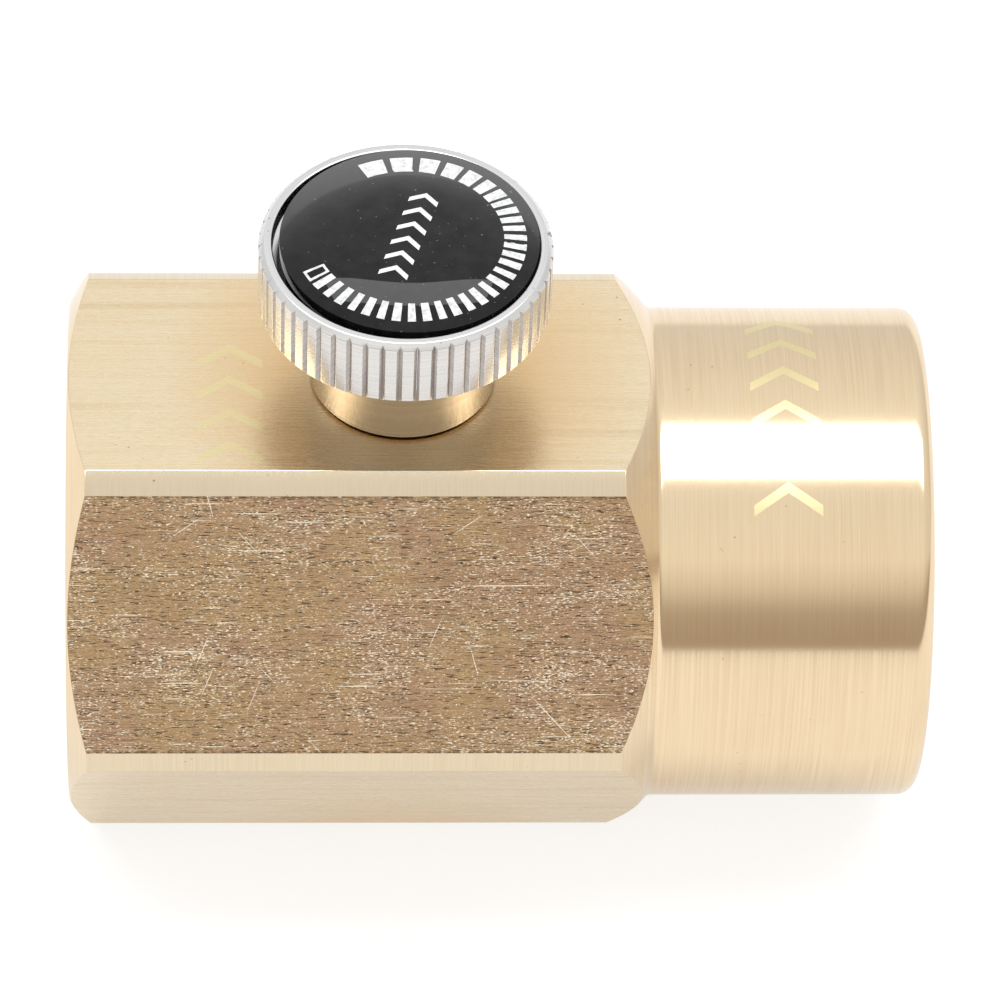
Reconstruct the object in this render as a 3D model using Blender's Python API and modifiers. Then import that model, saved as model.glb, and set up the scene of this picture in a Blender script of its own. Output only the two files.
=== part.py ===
"""Cylinder filling adapter with a side knob: a hexagonal brass body with a threaded socket at each end,
and a knurled knob whose screw drives a cone that pushes a pin out towards the cylinder's own valve.

+X runs along the body from the cylinder socket to the tank socket, +Z points up through the knob.
The origin is the middle of the body's underside, on the flat that the adapter rests on."""

import math

import bmesh
import bpy
from mathutils import Matrix, Vector

MM = 0.001

# Body, outside
ACROSS_FLATS = 30.0 * MM
CORNER_TURNED_OFF = 0.42 * MM
BODY_LENGTH = 50.3 * MM
HEX_LENGTH = 32.2 * MM
COLLAR_DIAMETER = 29.1 * MM
HEX_END_ANGLE = math.radians(60)
SHOULDER_ANGLE = math.radians(48)
COLLAR_EDGE_RADIUS = 1.0 * MM
END_FACE_INSET = 0.1 * MM

# Clearances
RUNNING_GAP = 0.15 * MM
SEAT_GAP = 0.3 * MM
CUT_PAST = 0.5 * MM

# Cylinder socket, at the hexagonal end: trapezoidal thread 21 x 4
CYLINDER_THREAD_MAJOR = 21.4 * MM
CYLINDER_THREAD_MINOR = 17.1 * MM
CYLINDER_THREAD_PITCH = 4.0 * MM
CYLINDER_THREAD_DEPTH = 9.2 * MM
CYLINDER_THREAD_CREST = 0.37 * CYLINDER_THREAD_PITCH
CYLINDER_THREAD_FLANK = math.radians(15)
THREAD_BASE_SHARE = 0.94
THREAD_RELIEF = 1.4 * MM
CYLINDER_MOUTH_DIAMETER = 22.0 * MM
CYLINDER_WASHER_DIAMETER = 17.0 * MM
CYLINDER_WASHER_THICKNESS = 1.4 * MM
CYLINDER_WASHER_RECESS = 0.2 * MM
BOSS_DIAMETER = 9.4 * MM
BOSS_WALL = 1.2 * MM

# Tank socket, in the collar: 14 threads per inch, 20.955 mm
TANK_THREAD_MAJOR = 20.96 * MM
TANK_THREAD_MINOR = 19.5 * MM
TANK_THREAD_PITCH = 25.4 * MM / 14
TANK_THREAD_DEPTH = 11.5 * MM
TANK_THREAD_CREST = 0.12 * TANK_THREAD_PITCH
TANK_THREAD_FLANK = math.radians(30)
TANK_MOUTH_DIAMETER = 21.8 * MM
TANK_WASHER_DIAMETER = 19.2 * MM
TANK_WASHER_BORE = 8.0 * MM
TANK_WASHER_THICKNESS = 1.95 * MM
TANK_WASHER_RECESS = 1.0 * MM

# Filter behind the tank washer
FILTER_DIAMETER = 6.4 * MM
FILTER_THICKNESS = 1.95 * MM
SNAP_RING_THICKNESS = 0.45 * MM
SNAP_RING_GROOVE_DEPTH = 0.35 * MM
SNAP_RING_WALL = 0.95 * MM
SNAP_RING_GAP = 1.2 * MM
SNAP_RING_LAND = 0.2 * MM
GAS_PASSAGE_DIAMETER = 3.2 * MM

# Knob
KNOB_FROM_HEX_END = 19.5 * MM
KNOB_DIAMETER = 16.9 * MM
KNOB_SKIRT_HEIGHT = 4.62 * MM
KNOB_HUB_DIAMETER = 10.8 * MM
KNOB_HUB_HEIGHT = 5.75 * MM
KNOB_TO_BODY_GAP = 0.28 * MM
KNOB_EDGE_CHAMFER = 0.35 * MM
HUB_EDGE_CHAMFER = 0.2 * MM
KNURL_TEETH = 54
KNURL_DEPTH = 0.32 * MM
KNURL_BAR = 0.42 * MM
LABEL_RECESS_DIAMETER = 15.3 * MM
LABEL_RECESS_DEPTH = 0.9 * MM

# Domed label
LABEL_DIAMETER = 14.84 * MM
LABEL_OFFSET = 0.2 * MM
LABEL_EDGE_HEIGHT = 0.62 * MM
LABEL_DOME_HEIGHT = 0.6 * MM
LABEL_DOME_FULLNESS = 0.7

# Stem and its seals
STEM_THREAD_DIAMETER = 6.0 * MM
STEM_THREAD_PITCH = 1.0 * MM
STEM_TURNS = 2.0
STEM_SHANK_DIAMETER = 4.8 * MM
STEM_SHANK_ACROSS_FLATS = 3.9 * MM
STEM_THREAD_PROUD = 2.45 * MM
STEM_SEAL_DIAMETER = 8.0 * MM
O_RING_SECTION = 0.88 * MM
GROOVE_LAND = 0.4 * MM
BACKUP_RING_THICKNESS = 0.4 * MM
BUSH_STEP = 1.0 * MM
BUSH_LENGTH = 4.6 * MM
BUSH_BELOW_FACE = 0.1 * MM
BUSH_SLOT_WIDTH = 1.0 * MM
BUSH_SLOT_DEPTH = 0.9 * MM
GASKET_THICKNESS = 0.7 * MM

# Cone, ball and push pin
CONE_DIAMETER = 6.0 * MM
CONE_TO_STEM_GAP = 0.9 * MM
CONE_TIP_BELOW_AXIS = 2.1 * MM
CONE_BORE_BELOW_AXIS = 3.5 * MM
DRILL_POINT_ANGLE = math.radians(31)
BALL_DIAMETER = 3.0 * MM
PIN_DIAMETER = 2.0 * MM
PIN_COLLAR_DIAMETER = 3.8 * MM
PIN_COLLAR_LENGTH = 0.8 * MM
PIN_TAIL_LENGTH = 0.65 * MM
PIN_LENGTH = 8.4 * MM
PIN_TIP_CHAMFER = 0.4 * MM
PIN_BORE_DIAMETER = 4.8 * MM
GUIDE_THICKNESS = 1.4 * MM
GUIDE_SEAT_PROUD = 0.6 * MM
GUIDE_HOLE_DIAMETER = 0.9 * MM
GUIDE_HOLES = 4
SPRING_WIRE = 0.28 * MM
SPRING_ROOM = 0.36 * MM
SPRING_TURNS = 3

# Screw under the label
SCREW_DIAMETER = 3.0 * MM
SCREW_HEAD_DIAMETER = 5.4 * MM
SCREW_HEAD_HEIGHT = 0.85 * MM
SCREW_LENGTH = 4.6 * MM
SCREW_SLOT_WIDTH = 0.8 * MM
SCREW_SLOT_DEPTH = 0.45 * MM
LOCK_WASHER_DIAMETER = 5.6 * MM
LOCK_WASHER_THICKNESS = 0.45 * MM
SCREW_WELL_DIAMETER = 6.6 * MM
SCREW_HEAD_SINK = 0.1 * MM

# Facets round a turned piece
COARSE_STEPS = 40
FINE_STEPS = 24
THREAD_STEPS = 20
HOLE_STEPS = 12
BALL_STEPS = 20
SPRING_STEPS = 14
EDGE_STEPS = 3
PIN_TAIL_STEPS = 5
O_RING_STEPS = 8
DOME_RINGS = 7
THREAD_START_ANGLE = math.radians(4)
SHARP_EDGE_ANGLE = math.radians(30)
MERGE_DISTANCE = 1e-6

# Positions that follow from the sizes
AXIS_HEIGHT = ACROSS_FLATS / 2
BAR_CORNER_RADIUS = ACROSS_FLATS / 2 / math.cos(math.radians(30))
CORNER_RADIUS = BAR_CORNER_RADIUS - CORNER_TURNED_OFF
HEX_END = -BODY_LENGTH / 2
COLLAR_END = BODY_LENGTH / 2
TOP_FACE = ACROSS_FLATS
KNOB_X = HEX_END + KNOB_FROM_HEX_END
HUB_BOTTOM = TOP_FACE + KNOB_TO_BODY_GAP
SKIRT_BOTTOM = HUB_BOTTOM + KNOB_HUB_HEIGHT
KNOB_TOP = SKIRT_BOTTOM + KNOB_SKIRT_HEIGHT
RECESS_FLOOR = KNOB_TOP - LABEL_RECESS_DEPTH
WELL_FLOOR = RECESS_FLOOR - SCREW_HEAD_SINK - SCREW_HEAD_HEIGHT - LOCK_WASHER_THICKNESS - 2 * SEAT_GAP
STEM_TRAVEL = STEM_TURNS * STEM_THREAD_PITCH
BUSH_DIAMETER = STEM_SEAL_DIAMETER + 2 * BUSH_STEP
BUSH_BOTTOM = TOP_FACE - BUSH_BELOW_FACE - BUSH_LENGTH
GASKET_SEAT = BUSH_BOTTOM - SEAT_GAP - GASKET_THICKNESS - SEAT_GAP
SEAL_TOP = BUSH_BOTTOM - STEM_TRAVEL - SEAT_GAP
LOWER_GROOVE_HEIGHT = O_RING_SECTION + 2 * RUNNING_GAP
UPPER_GROOVE_HEIGHT = LOWER_GROOVE_HEIGHT + BACKUP_RING_THICKNESS + RUNNING_GAP
UPPER_GROOVE_BOTTOM = SEAL_TOP - GROOVE_LAND - UPPER_GROOVE_HEIGHT
LOWER_GROOVE_BOTTOM = UPPER_GROOVE_BOTTOM - GROOVE_LAND - LOWER_GROOVE_HEIGHT
SEAL_BOTTOM = LOWER_GROOVE_BOTTOM - GROOVE_LAND
SEAL_BORE_DIAMETER = STEM_SEAL_DIAMETER + 2 * RUNNING_GAP
STEM_SHOULDER = HUB_BOTTOM + STEM_THREAD_PROUD
STEM_TOP = WELL_FLOOR - RUNNING_GAP
CONE_TIP = AXIS_HEIGHT - CONE_TIP_BELOW_AXIS
CONE_BASE = CONE_TIP + CONE_DIAMETER / 2
CONE_TOP = SEAL_BOTTOM - CONE_TO_STEM_GAP
CONE_BORE_DIAMETER = CONE_DIAMETER + 2 * RUNNING_GAP
BALL_CENTRE = (CONE_TOP + SEAL_BOTTOM) / 2
BALL_POCKET_DEPTH = BALL_DIAMETER / 2 - (SEAL_BOTTOM - CONE_TOP) / 2 + SEAT_GAP
CYLINDER_WASHER_FACE = HEX_END + CYLINDER_THREAD_DEPTH + THREAD_RELIEF + CYLINDER_WASHER_RECESS
CYLINDER_SEAT = CYLINDER_WASHER_FACE + CYLINDER_WASHER_THICKNESS + SEAT_GAP
CYLINDER_POCKET_DIAMETER = CYLINDER_WASHER_DIAMETER + 2 * SEAT_GAP
GUIDE_DIAMETER = BOSS_DIAMETER - 2 * BOSS_WALL
GUIDE_SEAT = CYLINDER_SEAT - GUIDE_SEAT_PROUD
BOSS_FACE = GUIDE_SEAT - GUIDE_THICKNESS - 2 * SEAT_GAP
TANK_SEAT = COLLAR_END - TANK_THREAD_DEPTH - THREAD_RELIEF - TANK_WASHER_RECESS
FILTER_BORE_DIAMETER = FILTER_DIAMETER + 2 * RUNNING_GAP
SNAP_GROOVE_END = TANK_SEAT - SNAP_RING_LAND
SNAP_GROOVE_START = SNAP_GROOVE_END - SNAP_RING_THICKNESS - 2 * SEAT_GAP
FILTER_SEAT = SNAP_GROOVE_START - FILTER_THICKNESS - 2 * SEAT_GAP
# The round tail of the pin touches the cone's 45 degree flank at this distance from the cone's axis.
PIN_TAIL_CENTRE = KNOB_X - CONE_TIP_BELOW_AXIS - math.sqrt(2) * (PIN_DIAMETER / 2 + SEAT_GAP)
PIN_COLLAR_FACE = PIN_TAIL_CENTRE - PIN_TAIL_LENGTH
SPRING_DIAMETER = PIN_DIAMETER + SPRING_WIRE + 2 * SPRING_ROOM
PIN_TIP = PIN_TAIL_CENTRE + PIN_DIAMETER / 2 - PIN_LENGTH


def collection(name):
    made = bpy.data.collections.new(name)
    bpy.context.scene.collection.children.link(made)
    return made


def material(name, colour, roughness, metallic):
    made = bpy.data.materials.new(name)
    made.use_nodes = True
    shader = made.node_tree.nodes["Principled BSDF"]
    shader.inputs["Base Color"].default_value = (*colour, 1.0)
    shader.inputs["Roughness"].default_value = roughness
    shader.inputs["Metallic"].default_value = metallic
    return made


def place(mesh, name, finish, parent=None):
    """An object of the adapter that holds this mesh. With no finish it is a cutter."""
    made = bpy.data.objects.new(name, mesh)
    if finish is None:
        cutters.objects.link(made)
        made.hide_render = True
        made.display_type = "WIRE"
    else:
        adapter.objects.link(made)
        mesh.materials.append(finish)
    made.parent = parent
    return made


def mesh_of(bm, name):
    mesh = bpy.data.meshes.new(name)
    bmesh.ops.recalc_face_normals(bm, faces=bm.faces)
    bm.to_mesh(mesh)
    bm.free()
    return mesh


def turned(name, profile, finish=None, steps=FINE_STEPS, along_x=False, parent=None):
    """A turned piece. The profile is (radius, height) from the top down its outer side, and it is closed
    into a ring unless both its ends lie on the axis."""
    ring = profile[0][0] > 0
    count = len(profile)
    edges = [(i, (i + 1) % count) for i in range(count if ring else count - 1)]
    mesh = bpy.data.meshes.new(name)
    mesh.from_pydata([(radius, 0, height) for radius, height in profile], edges, [])
    made = place(mesh, name, finish, parent)
    screw = made.modifiers.new("turn", "SCREW")
    screw.steps = screw.render_steps = steps
    screw.use_merge_vertices = True
    screw.merge_threshold = MERGE_DISTANCE
    if along_x:
        made.rotation_euler = (0, math.radians(90), 0)
        made.location = (0, 0, AXIS_HEIGHT)
    return made


def boolean(target, other, operation):
    modifier = target.modifiers.new(f"{operation.lower()}_{other.name}", "BOOLEAN")
    modifier.object = other
    modifier.operation = operation
    return target


def cut(target, *others):
    for other in others:
        boolean(target, other, "DIFFERENCE")
    return target


def box(name, low, high):
    """A cutter between two corners."""
    bm = bmesh.new()
    bmesh.ops.create_cube(bm, size=1)
    low = Vector(low)
    high = Vector(high)
    bmesh.ops.scale(bm, vec=high - low, verts=bm.verts)
    bmesh.ops.translate(bm, vec=(low + high) / 2, verts=bm.verts)
    return place(mesh_of(bm, name), name, None)


def arc(centre, radius, first, last, pieces):
    """Points of an arc in (radius, height), between two angles in degrees from the radial direction."""
    for i in range(pieces + 1):
        angle = math.radians(first + (last - first) * i / pieces)
        yield centre[0] + radius * math.cos(angle), centre[1] + radius * math.sin(angle)


def helical_groove(name, profile, pitch, turns, start):
    """A cutter for a thread in a socket: the profile, (radius, distance along X), carried round a helix."""
    bm = bmesh.new()
    corners = [bm.verts.new((along, 0, radius)) for radius, along in profile]
    face = bm.faces.new(corners)
    steps = round(turns * THREAD_STEPS)
    bmesh.ops.spin(
        bm,
        geom=[face, *face.edges, *face.verts],
        cent=(0, 0, 0),
        axis=(1, 0, 0),
        dvec=(pitch / THREAD_STEPS, 0, 0),
        angle=math.tau * steps / THREAD_STEPS,
        steps=steps,
    )
    made = place(mesh_of(bm, name), name, None)
    made.location = (start, 0, AXIS_HEIGHT)
    # Turned a little, so that the groove's ends don't lie in the same plane as edges of the bore.
    made.rotation_euler.x = THREAD_START_ANGLE
    return made


def thread_profile(major, minor, pitch, crest, flank):
    """Half-diameters and widths of a thread groove: crest is its width at the major diameter."""
    core = minor / 2 - RUNNING_GAP
    top = major / 2
    half_top = crest / 2
    half_base = half_top + (top - core) * math.tan(flank)
    half_base = min(half_base, THREAD_BASE_SHARE * pitch / 2)
    return [(core, -half_base), (top, -half_top), (top, half_top), (core, half_base)]


def hexagonal_bar():
    """The bar that the body is turned from, with a flat on top."""
    bm = bmesh.new()
    corner = BAR_CORNER_RADIUS
    bmesh.ops.create_cone(bm, cap_ends=True, segments=6, radius1=corner, radius2=corner, depth=BODY_LENGTH)
    turn = Matrix.Rotation(math.radians(90), 3, "Y")
    bmesh.ops.rotate(bm, cent=(0, 0, 0), matrix=turn, verts=bm.verts)
    bmesh.ops.translate(bm, vec=(0, 0, AXIS_HEIGHT), verts=bm.verts)
    return mesh_of(bm, "valve_body")


def body_envelope():
    """The turned outline that the hexagonal bar is cut down to: both chamfers, the collar and its edge."""
    corner = CORNER_RADIUS
    collar = COLLAR_DIAMETER / 2
    end_face = ACROSS_FLATS / 2 - END_FACE_INSET
    hex_chamfer = (corner - end_face) / math.tan(HEX_END_ANGLE)
    shoulder = (corner - collar) / math.tan(SHOULDER_ANGLE)
    edge = COLLAR_EDGE_RADIUS
    profile = [
        (0, COLLAR_END),
        *arc((collar - edge, COLLAR_END - edge), edge, 90, 0, EDGE_STEPS),
        (collar, HEX_END + HEX_LENGTH + shoulder),
        (corner, HEX_END + HEX_LENGTH),
        (corner, HEX_END + hex_chamfer),
        (end_face, HEX_END),
        (0, HEX_END),
    ]
    return turned("body_envelope", profile, steps=COARSE_STEPS, along_x=True)


def tank_side():
    """Points down from the tank socket: mouth, relief, washer seat, filter bore, ring groove, gas passage."""
    mouth = TANK_MOUTH_DIAMETER / 2
    minor = TANK_THREAD_MINOR / 2
    relief = TANK_THREAD_MAJOR / 2 + RUNNING_GAP
    thread_end = COLLAR_END - TANK_THREAD_DEPTH
    filter_bore = FILTER_BORE_DIAMETER / 2
    groove = filter_bore + SNAP_RING_GROOVE_DEPTH
    return [
        (0, COLLAR_END + CUT_PAST),
        (mouth + CUT_PAST, COLLAR_END + CUT_PAST),
        (minor, COLLAR_END - (mouth - minor)),
        (minor, thread_end),
        (relief, thread_end),
        (relief, thread_end - THREAD_RELIEF),
        (minor, thread_end - THREAD_RELIEF),
        (minor, TANK_SEAT),
        (filter_bore, TANK_SEAT),
        (filter_bore, SNAP_GROOVE_END),
        (groove, SNAP_GROOVE_END),
        (groove, SNAP_GROOVE_START),
        (filter_bore, SNAP_GROOVE_START),
        (filter_bore, FILTER_SEAT),
        (GAS_PASSAGE_DIAMETER / 2, FILTER_SEAT),
        (GAS_PASSAGE_DIAMETER / 2, KNOB_X),
    ]


def cylinder_side():
    """Points on from there: pin bore, guide bore, boss, washer pocket, relief and mouth."""
    mouth = CYLINDER_MOUTH_DIAMETER / 2
    minor = CYLINDER_THREAD_MINOR / 2
    relief = CYLINDER_THREAD_MAJOR / 2 + RUNNING_GAP
    thread_end = HEX_END + CYLINDER_THREAD_DEPTH
    guide = GUIDE_DIAMETER / 2 + RUNNING_GAP
    pocket = CYLINDER_POCKET_DIAMETER / 2
    return [
        (PIN_BORE_DIAMETER / 2, KNOB_X),
        (PIN_BORE_DIAMETER / 2, GUIDE_SEAT),
        (guide, GUIDE_SEAT),
        (guide, BOSS_FACE),
        (BOSS_DIAMETER / 2, BOSS_FACE),
        (BOSS_DIAMETER / 2, CYLINDER_SEAT),
        (pocket, CYLINDER_SEAT),
        (pocket, thread_end + THREAD_RELIEF),
        (relief, thread_end + THREAD_RELIEF),
        (relief, thread_end),
        (minor, thread_end),
        (minor, HEX_END + mouth - minor),
        (mouth + CUT_PAST, HEX_END - CUT_PAST),
        (0, HEX_END - CUT_PAST),
    ]


def stem_cavity():
    """Bush bore, stem bore and cone bore, down from the top flat."""
    bush = BUSH_DIAMETER / 2 + RUNNING_GAP
    cone = CONE_BORE_DIAMETER / 2
    floor = AXIS_HEIGHT - CONE_BORE_BELOW_AXIS
    profile = [
        (0, TOP_FACE + CUT_PAST),
        (bush, TOP_FACE + CUT_PAST),
        (bush, GASKET_SEAT),
        (SEAL_BORE_DIAMETER / 2, GASKET_SEAT),
        (SEAL_BORE_DIAMETER / 2, SEAL_BOTTOM - SEAT_GAP),
        (cone, SEAL_BOTTOM - SEAT_GAP),
        (cone, floor),
        (0, floor - cone * math.tan(DRILL_POINT_ANGLE)),
    ]
    made = turned("stem_cavity", profile, steps=FINE_STEPS)
    made.location.x = KNOB_X
    return made


def cylinder_thread():
    pitch = CYLINDER_THREAD_PITCH
    profile = thread_profile(
        CYLINDER_THREAD_MAJOR, CYLINDER_THREAD_MINOR, pitch, CYLINDER_THREAD_CREST, CYLINDER_THREAD_FLANK
    )
    start = HEX_END - pitch / 2
    turns = (CYLINDER_THREAD_DEPTH + THREAD_RELIEF / 2 - (start - HEX_END)) / pitch
    return helical_groove("cylinder_thread", profile, pitch, turns, start)


def tank_thread():
    pitch = TANK_THREAD_PITCH
    profile = thread_profile(
        TANK_THREAD_MAJOR, TANK_THREAD_MINOR, pitch, TANK_THREAD_CREST, TANK_THREAD_FLANK
    )
    start = COLLAR_END - TANK_THREAD_DEPTH - THREAD_RELIEF / 2
    turns = (COLLAR_END + pitch / 2 - start) / pitch
    return helical_groove("tank_thread", profile, pitch, turns, start)


def make_body():
    body = place(hexagonal_bar(), "valve_body", brass)
    boolean(body, body_envelope(), "INTERSECT")
    through = turned("axial_cavity", tank_side() + cylinder_side(), steps=COARSE_STEPS, along_x=True)
    cut(body, through, stem_cavity(), cylinder_thread(), tank_thread())


def ring(name, outer, inner, low, high, finish, **options):
    """A washer between two positions on its axis."""
    profile = [(inner / 2, high), (outer / 2, high), (outer / 2, low), (inner / 2, low)]
    return turned(name, profile, finish, **options)


def make_seats():
    """The two flat seals that a cylinder and a tank valve close against."""
    ring(
        "cylinder_seal_washer",
        CYLINDER_WASHER_DIAMETER,
        BOSS_DIAMETER + 2 * SEAT_GAP,
        CYLINDER_WASHER_FACE,
        CYLINDER_WASHER_FACE + CYLINDER_WASHER_THICKNESS,
        nylon,
        steps=COARSE_STEPS,
        along_x=True,
    )
    ring(
        "tank_seal_washer",
        TANK_WASHER_DIAMETER,
        TANK_WASHER_BORE,
        TANK_SEAT + SEAT_GAP,
        TANK_SEAT + SEAT_GAP + TANK_WASHER_THICKNESS,
        nylon,
        steps=COARSE_STEPS,
        along_x=True,
    )


def make_filter():
    """The sintered disc and the snap ring that holds it."""
    start = FILTER_SEAT + SEAT_GAP
    profile = [
        (0, start + FILTER_THICKNESS),
        (FILTER_DIAMETER / 2, start + FILTER_THICKNESS),
        (FILTER_DIAMETER / 2, start),
        (0, start),
    ]
    turned("inlet_filter", profile, bronze, along_x=True)
    outer = FILTER_BORE_DIAMETER + 2 * SNAP_RING_GROOVE_DEPTH - 2 * RUNNING_GAP
    low = SNAP_GROOVE_START + SEAT_GAP
    snap = ring(
        "filter_snap_ring",
        outer,
        outer - 2 * SNAP_RING_WALL,
        low,
        low + SNAP_RING_THICKNESS,
        steel,
        along_x=True,
    )
    gap = box(
        "snap_ring_gap",
        (low - CUT_PAST, -SNAP_RING_GAP / 2, AXIS_HEIGHT),
        (low + SNAP_RING_THICKNESS + CUT_PAST, SNAP_RING_GAP / 2, AXIS_HEIGHT + outer),
    )
    cut(snap, gap)


def make_pin_guide():
    """The plug in the boss that guides the pin and lets gas past it."""
    guide = ring(
        "pin_guide_plug",
        GUIDE_DIAMETER,
        PIN_DIAMETER + 2 * RUNNING_GAP,
        GUIDE_SEAT - SEAT_GAP - GUIDE_THICKNESS,
        GUIDE_SEAT - SEAT_GAP,
        brass,
        along_x=True,
    )
    bm = bmesh.new()
    hole = GUIDE_HOLE_DIAMETER / 2
    reach = (PIN_DIAMETER / 2 + GUIDE_DIAMETER / 2) / 2
    for i in range(GUIDE_HOLES):
        angle = math.tau * (i + 0.5) / GUIDE_HOLES
        at = Vector((GUIDE_SEAT - GUIDE_THICKNESS / 2, reach * math.cos(angle), reach * math.sin(angle)))
        at.z += AXIS_HEIGHT
        turn = Matrix.Translation(at) @ Matrix.Rotation(math.radians(90), 4, "Y")
        drill = {"segments": HOLE_STEPS, "radius1": hole, "radius2": hole, "depth": 3 * GUIDE_THICKNESS}
        bmesh.ops.create_cone(bm, cap_ends=True, matrix=turn, **drill)
    cut(guide, place(mesh_of(bm, "guide_holes"), "guide_holes", None))


def make_push_pin():
    """The pin that opens the cylinder's valve: a round tail on the cone, a collar and a tip."""
    radius = PIN_DIAMETER / 2
    collar = PIN_COLLAR_DIAMETER / 2
    profile = [
        (0, PIN_TAIL_CENTRE + radius),
        *list(arc((0, PIN_TAIL_CENTRE), radius, 90, 0, PIN_TAIL_STEPS))[1:],
        (radius, PIN_COLLAR_FACE),
        (collar, PIN_COLLAR_FACE),
        (collar, PIN_COLLAR_FACE - PIN_COLLAR_LENGTH),
        (radius, PIN_COLLAR_FACE - PIN_COLLAR_LENGTH),
        (radius, PIN_TIP + PIN_TIP_CHAMFER),
        (radius - PIN_TIP_CHAMFER, PIN_TIP),
        (0, PIN_TIP),
    ]
    turned("push_pin", profile, steel, along_x=True)


def make_pin_spring():
    """The light spring between the guide plug and the pin's collar."""
    start = GUIDE_SEAT + SPRING_WIRE / 2
    end = PIN_COLLAR_FACE - PIN_COLLAR_LENGTH - SEAT_GAP - SPRING_WIRE / 2
    count = SPRING_TURNS * SPRING_STEPS + 1
    curve = bpy.data.curves.new("pin_return_spring", "CURVE")
    curve.dimensions = "3D"
    curve.bevel_depth = SPRING_WIRE / 2
    curve.bevel_resolution = 2
    curve.use_fill_caps = True
    wire = curve.splines.new("POLY")
    wire.points.add(count - 1)
    for i, point in enumerate(wire.points):
        angle = math.tau * i / SPRING_STEPS
        share = i / (count - 1)
        y = SPRING_DIAMETER / 2 * math.cos(angle)
        z = AXIS_HEIGHT + SPRING_DIAMETER / 2 * math.sin(angle)
        point.co = (start + (end - start) * share, y, z, 1)
    place(curve, "pin_return_spring", steel)


def make_cone():
    """The cone that wedges the pin outwards, and the ball that the stem pushes it down with."""
    radius = CONE_DIAMETER / 2
    pocket = BALL_DIAMETER / 2 + SEAT_GAP
    profile = [
        (0, CONE_TOP - BALL_POCKET_DEPTH),
        (pocket, CONE_TOP - BALL_POCKET_DEPTH),
        (pocket, CONE_TOP),
        (radius, CONE_TOP),
        (radius, CONE_BASE),
        (0, CONE_TIP),
    ]
    turned("cone_plunger", profile, steel, parent=slide_axis)
    bm = bmesh.new()
    bmesh.ops.create_uvsphere(bm, u_segments=BALL_STEPS, v_segments=BALL_STEPS // 2, radius=BALL_DIAMETER / 2)
    ball = place(mesh_of(bm, "thrust_ball"), "thrust_ball", steel, slide_axis)
    ball.location.z = BALL_CENTRE


def double_flat_shank(name, diameter, across, low, high):
    """A cutter for the knob's hole: a cylinder with two flats."""
    profile = [(0, high), (diameter / 2, high), (diameter / 2, low), (0, low)]
    made = turned(name, profile, parent=knob_axis)
    half = across / 2
    slab = box(f"{name}_flats", (-diameter, -half, low - CUT_PAST), (diameter, half, high + CUT_PAST))
    slab.parent = knob_axis
    return boolean(made, slab, "INTERSECT")


def make_stem():
    """The screwed stem, with its flats for the knob, two seal grooves and a pocket for the ball."""
    thread = STEM_THREAD_DIAMETER / 2 - RUNNING_GAP / 2
    shank = STEM_SHANK_DIAMETER / 2
    seal = STEM_SEAL_DIAMETER / 2
    groove = SEAL_BORE_DIAMETER / 2 - O_RING_SECTION - 2 * RUNNING_GAP
    tapped = SCREW_DIAMETER / 2 + RUNNING_GAP
    pocket = BALL_DIAMETER / 2 + SEAT_GAP
    drilled = STEM_TOP - SCREW_LENGTH
    profile = [(0, drilled), (tapped, drilled), (tapped, STEM_TOP), (shank, STEM_TOP)]
    profile += [(shank, STEM_SHOULDER), (thread, STEM_SHOULDER), (thread, SEAL_TOP), (seal, SEAL_TOP)]
    upper = (UPPER_GROOVE_BOTTOM, UPPER_GROOVE_HEIGHT)
    lower = (LOWER_GROOVE_BOTTOM, LOWER_GROOVE_HEIGHT)
    for bottom, height in (upper, lower):
        profile += [(seal, bottom + height), (groove, bottom + height), (groove, bottom), (seal, bottom)]
    profile += [(seal, SEAL_BOTTOM), (pocket, SEAL_BOTTOM)]
    profile += [(pocket, SEAL_BOTTOM + BALL_POCKET_DEPTH), (0, SEAL_BOTTOM + BALL_POCKET_DEPTH)]
    stem = turned("stem", profile, steel, parent=knob_axis)
    half = STEM_SHANK_ACROSS_FLATS / 2
    for side, name in ((-1, "front"), (1, "back")):
        near, far = sorted((side * half, side * STEM_SHANK_DIAMETER))
        low = (-STEM_SHANK_DIAMETER, near, STEM_SHOULDER + RUNNING_GAP)
        flat = box(f"stem_flat_{name}", low, (STEM_SHANK_DIAMETER, far, STEM_TOP + CUT_PAST))
        flat.parent = knob_axis
        cut(stem, flat)


def make_stem_seals():
    """Two rubber rings in the stem's grooves, and a stiffer ring above the upper one."""
    section = O_RING_SECTION / 2
    reach = SEAL_BORE_DIAMETER / 2 - RUNNING_GAP - section
    grooves = (("stem_o_ring_upper", UPPER_GROOVE_BOTTOM), ("stem_o_ring_lower", LOWER_GROOVE_BOTTOM))
    for name, bottom in grooves:
        centre = bottom + RUNNING_GAP + section
        profile = list(arc((reach, centre), section, 90, -270, O_RING_STEPS))[:-1]
        turned(name, profile, rubber, parent=knob_axis)
    high = UPPER_GROOVE_BOTTOM + UPPER_GROOVE_HEIGHT - RUNNING_GAP
    low = high - BACKUP_RING_THICKNESS
    outer = SEAL_BORE_DIAMETER - 2 * RUNNING_GAP
    ring("stem_backup_ring", outer, outer - 2 * O_RING_SECTION, low, high, nylon, parent=knob_axis)


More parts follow.
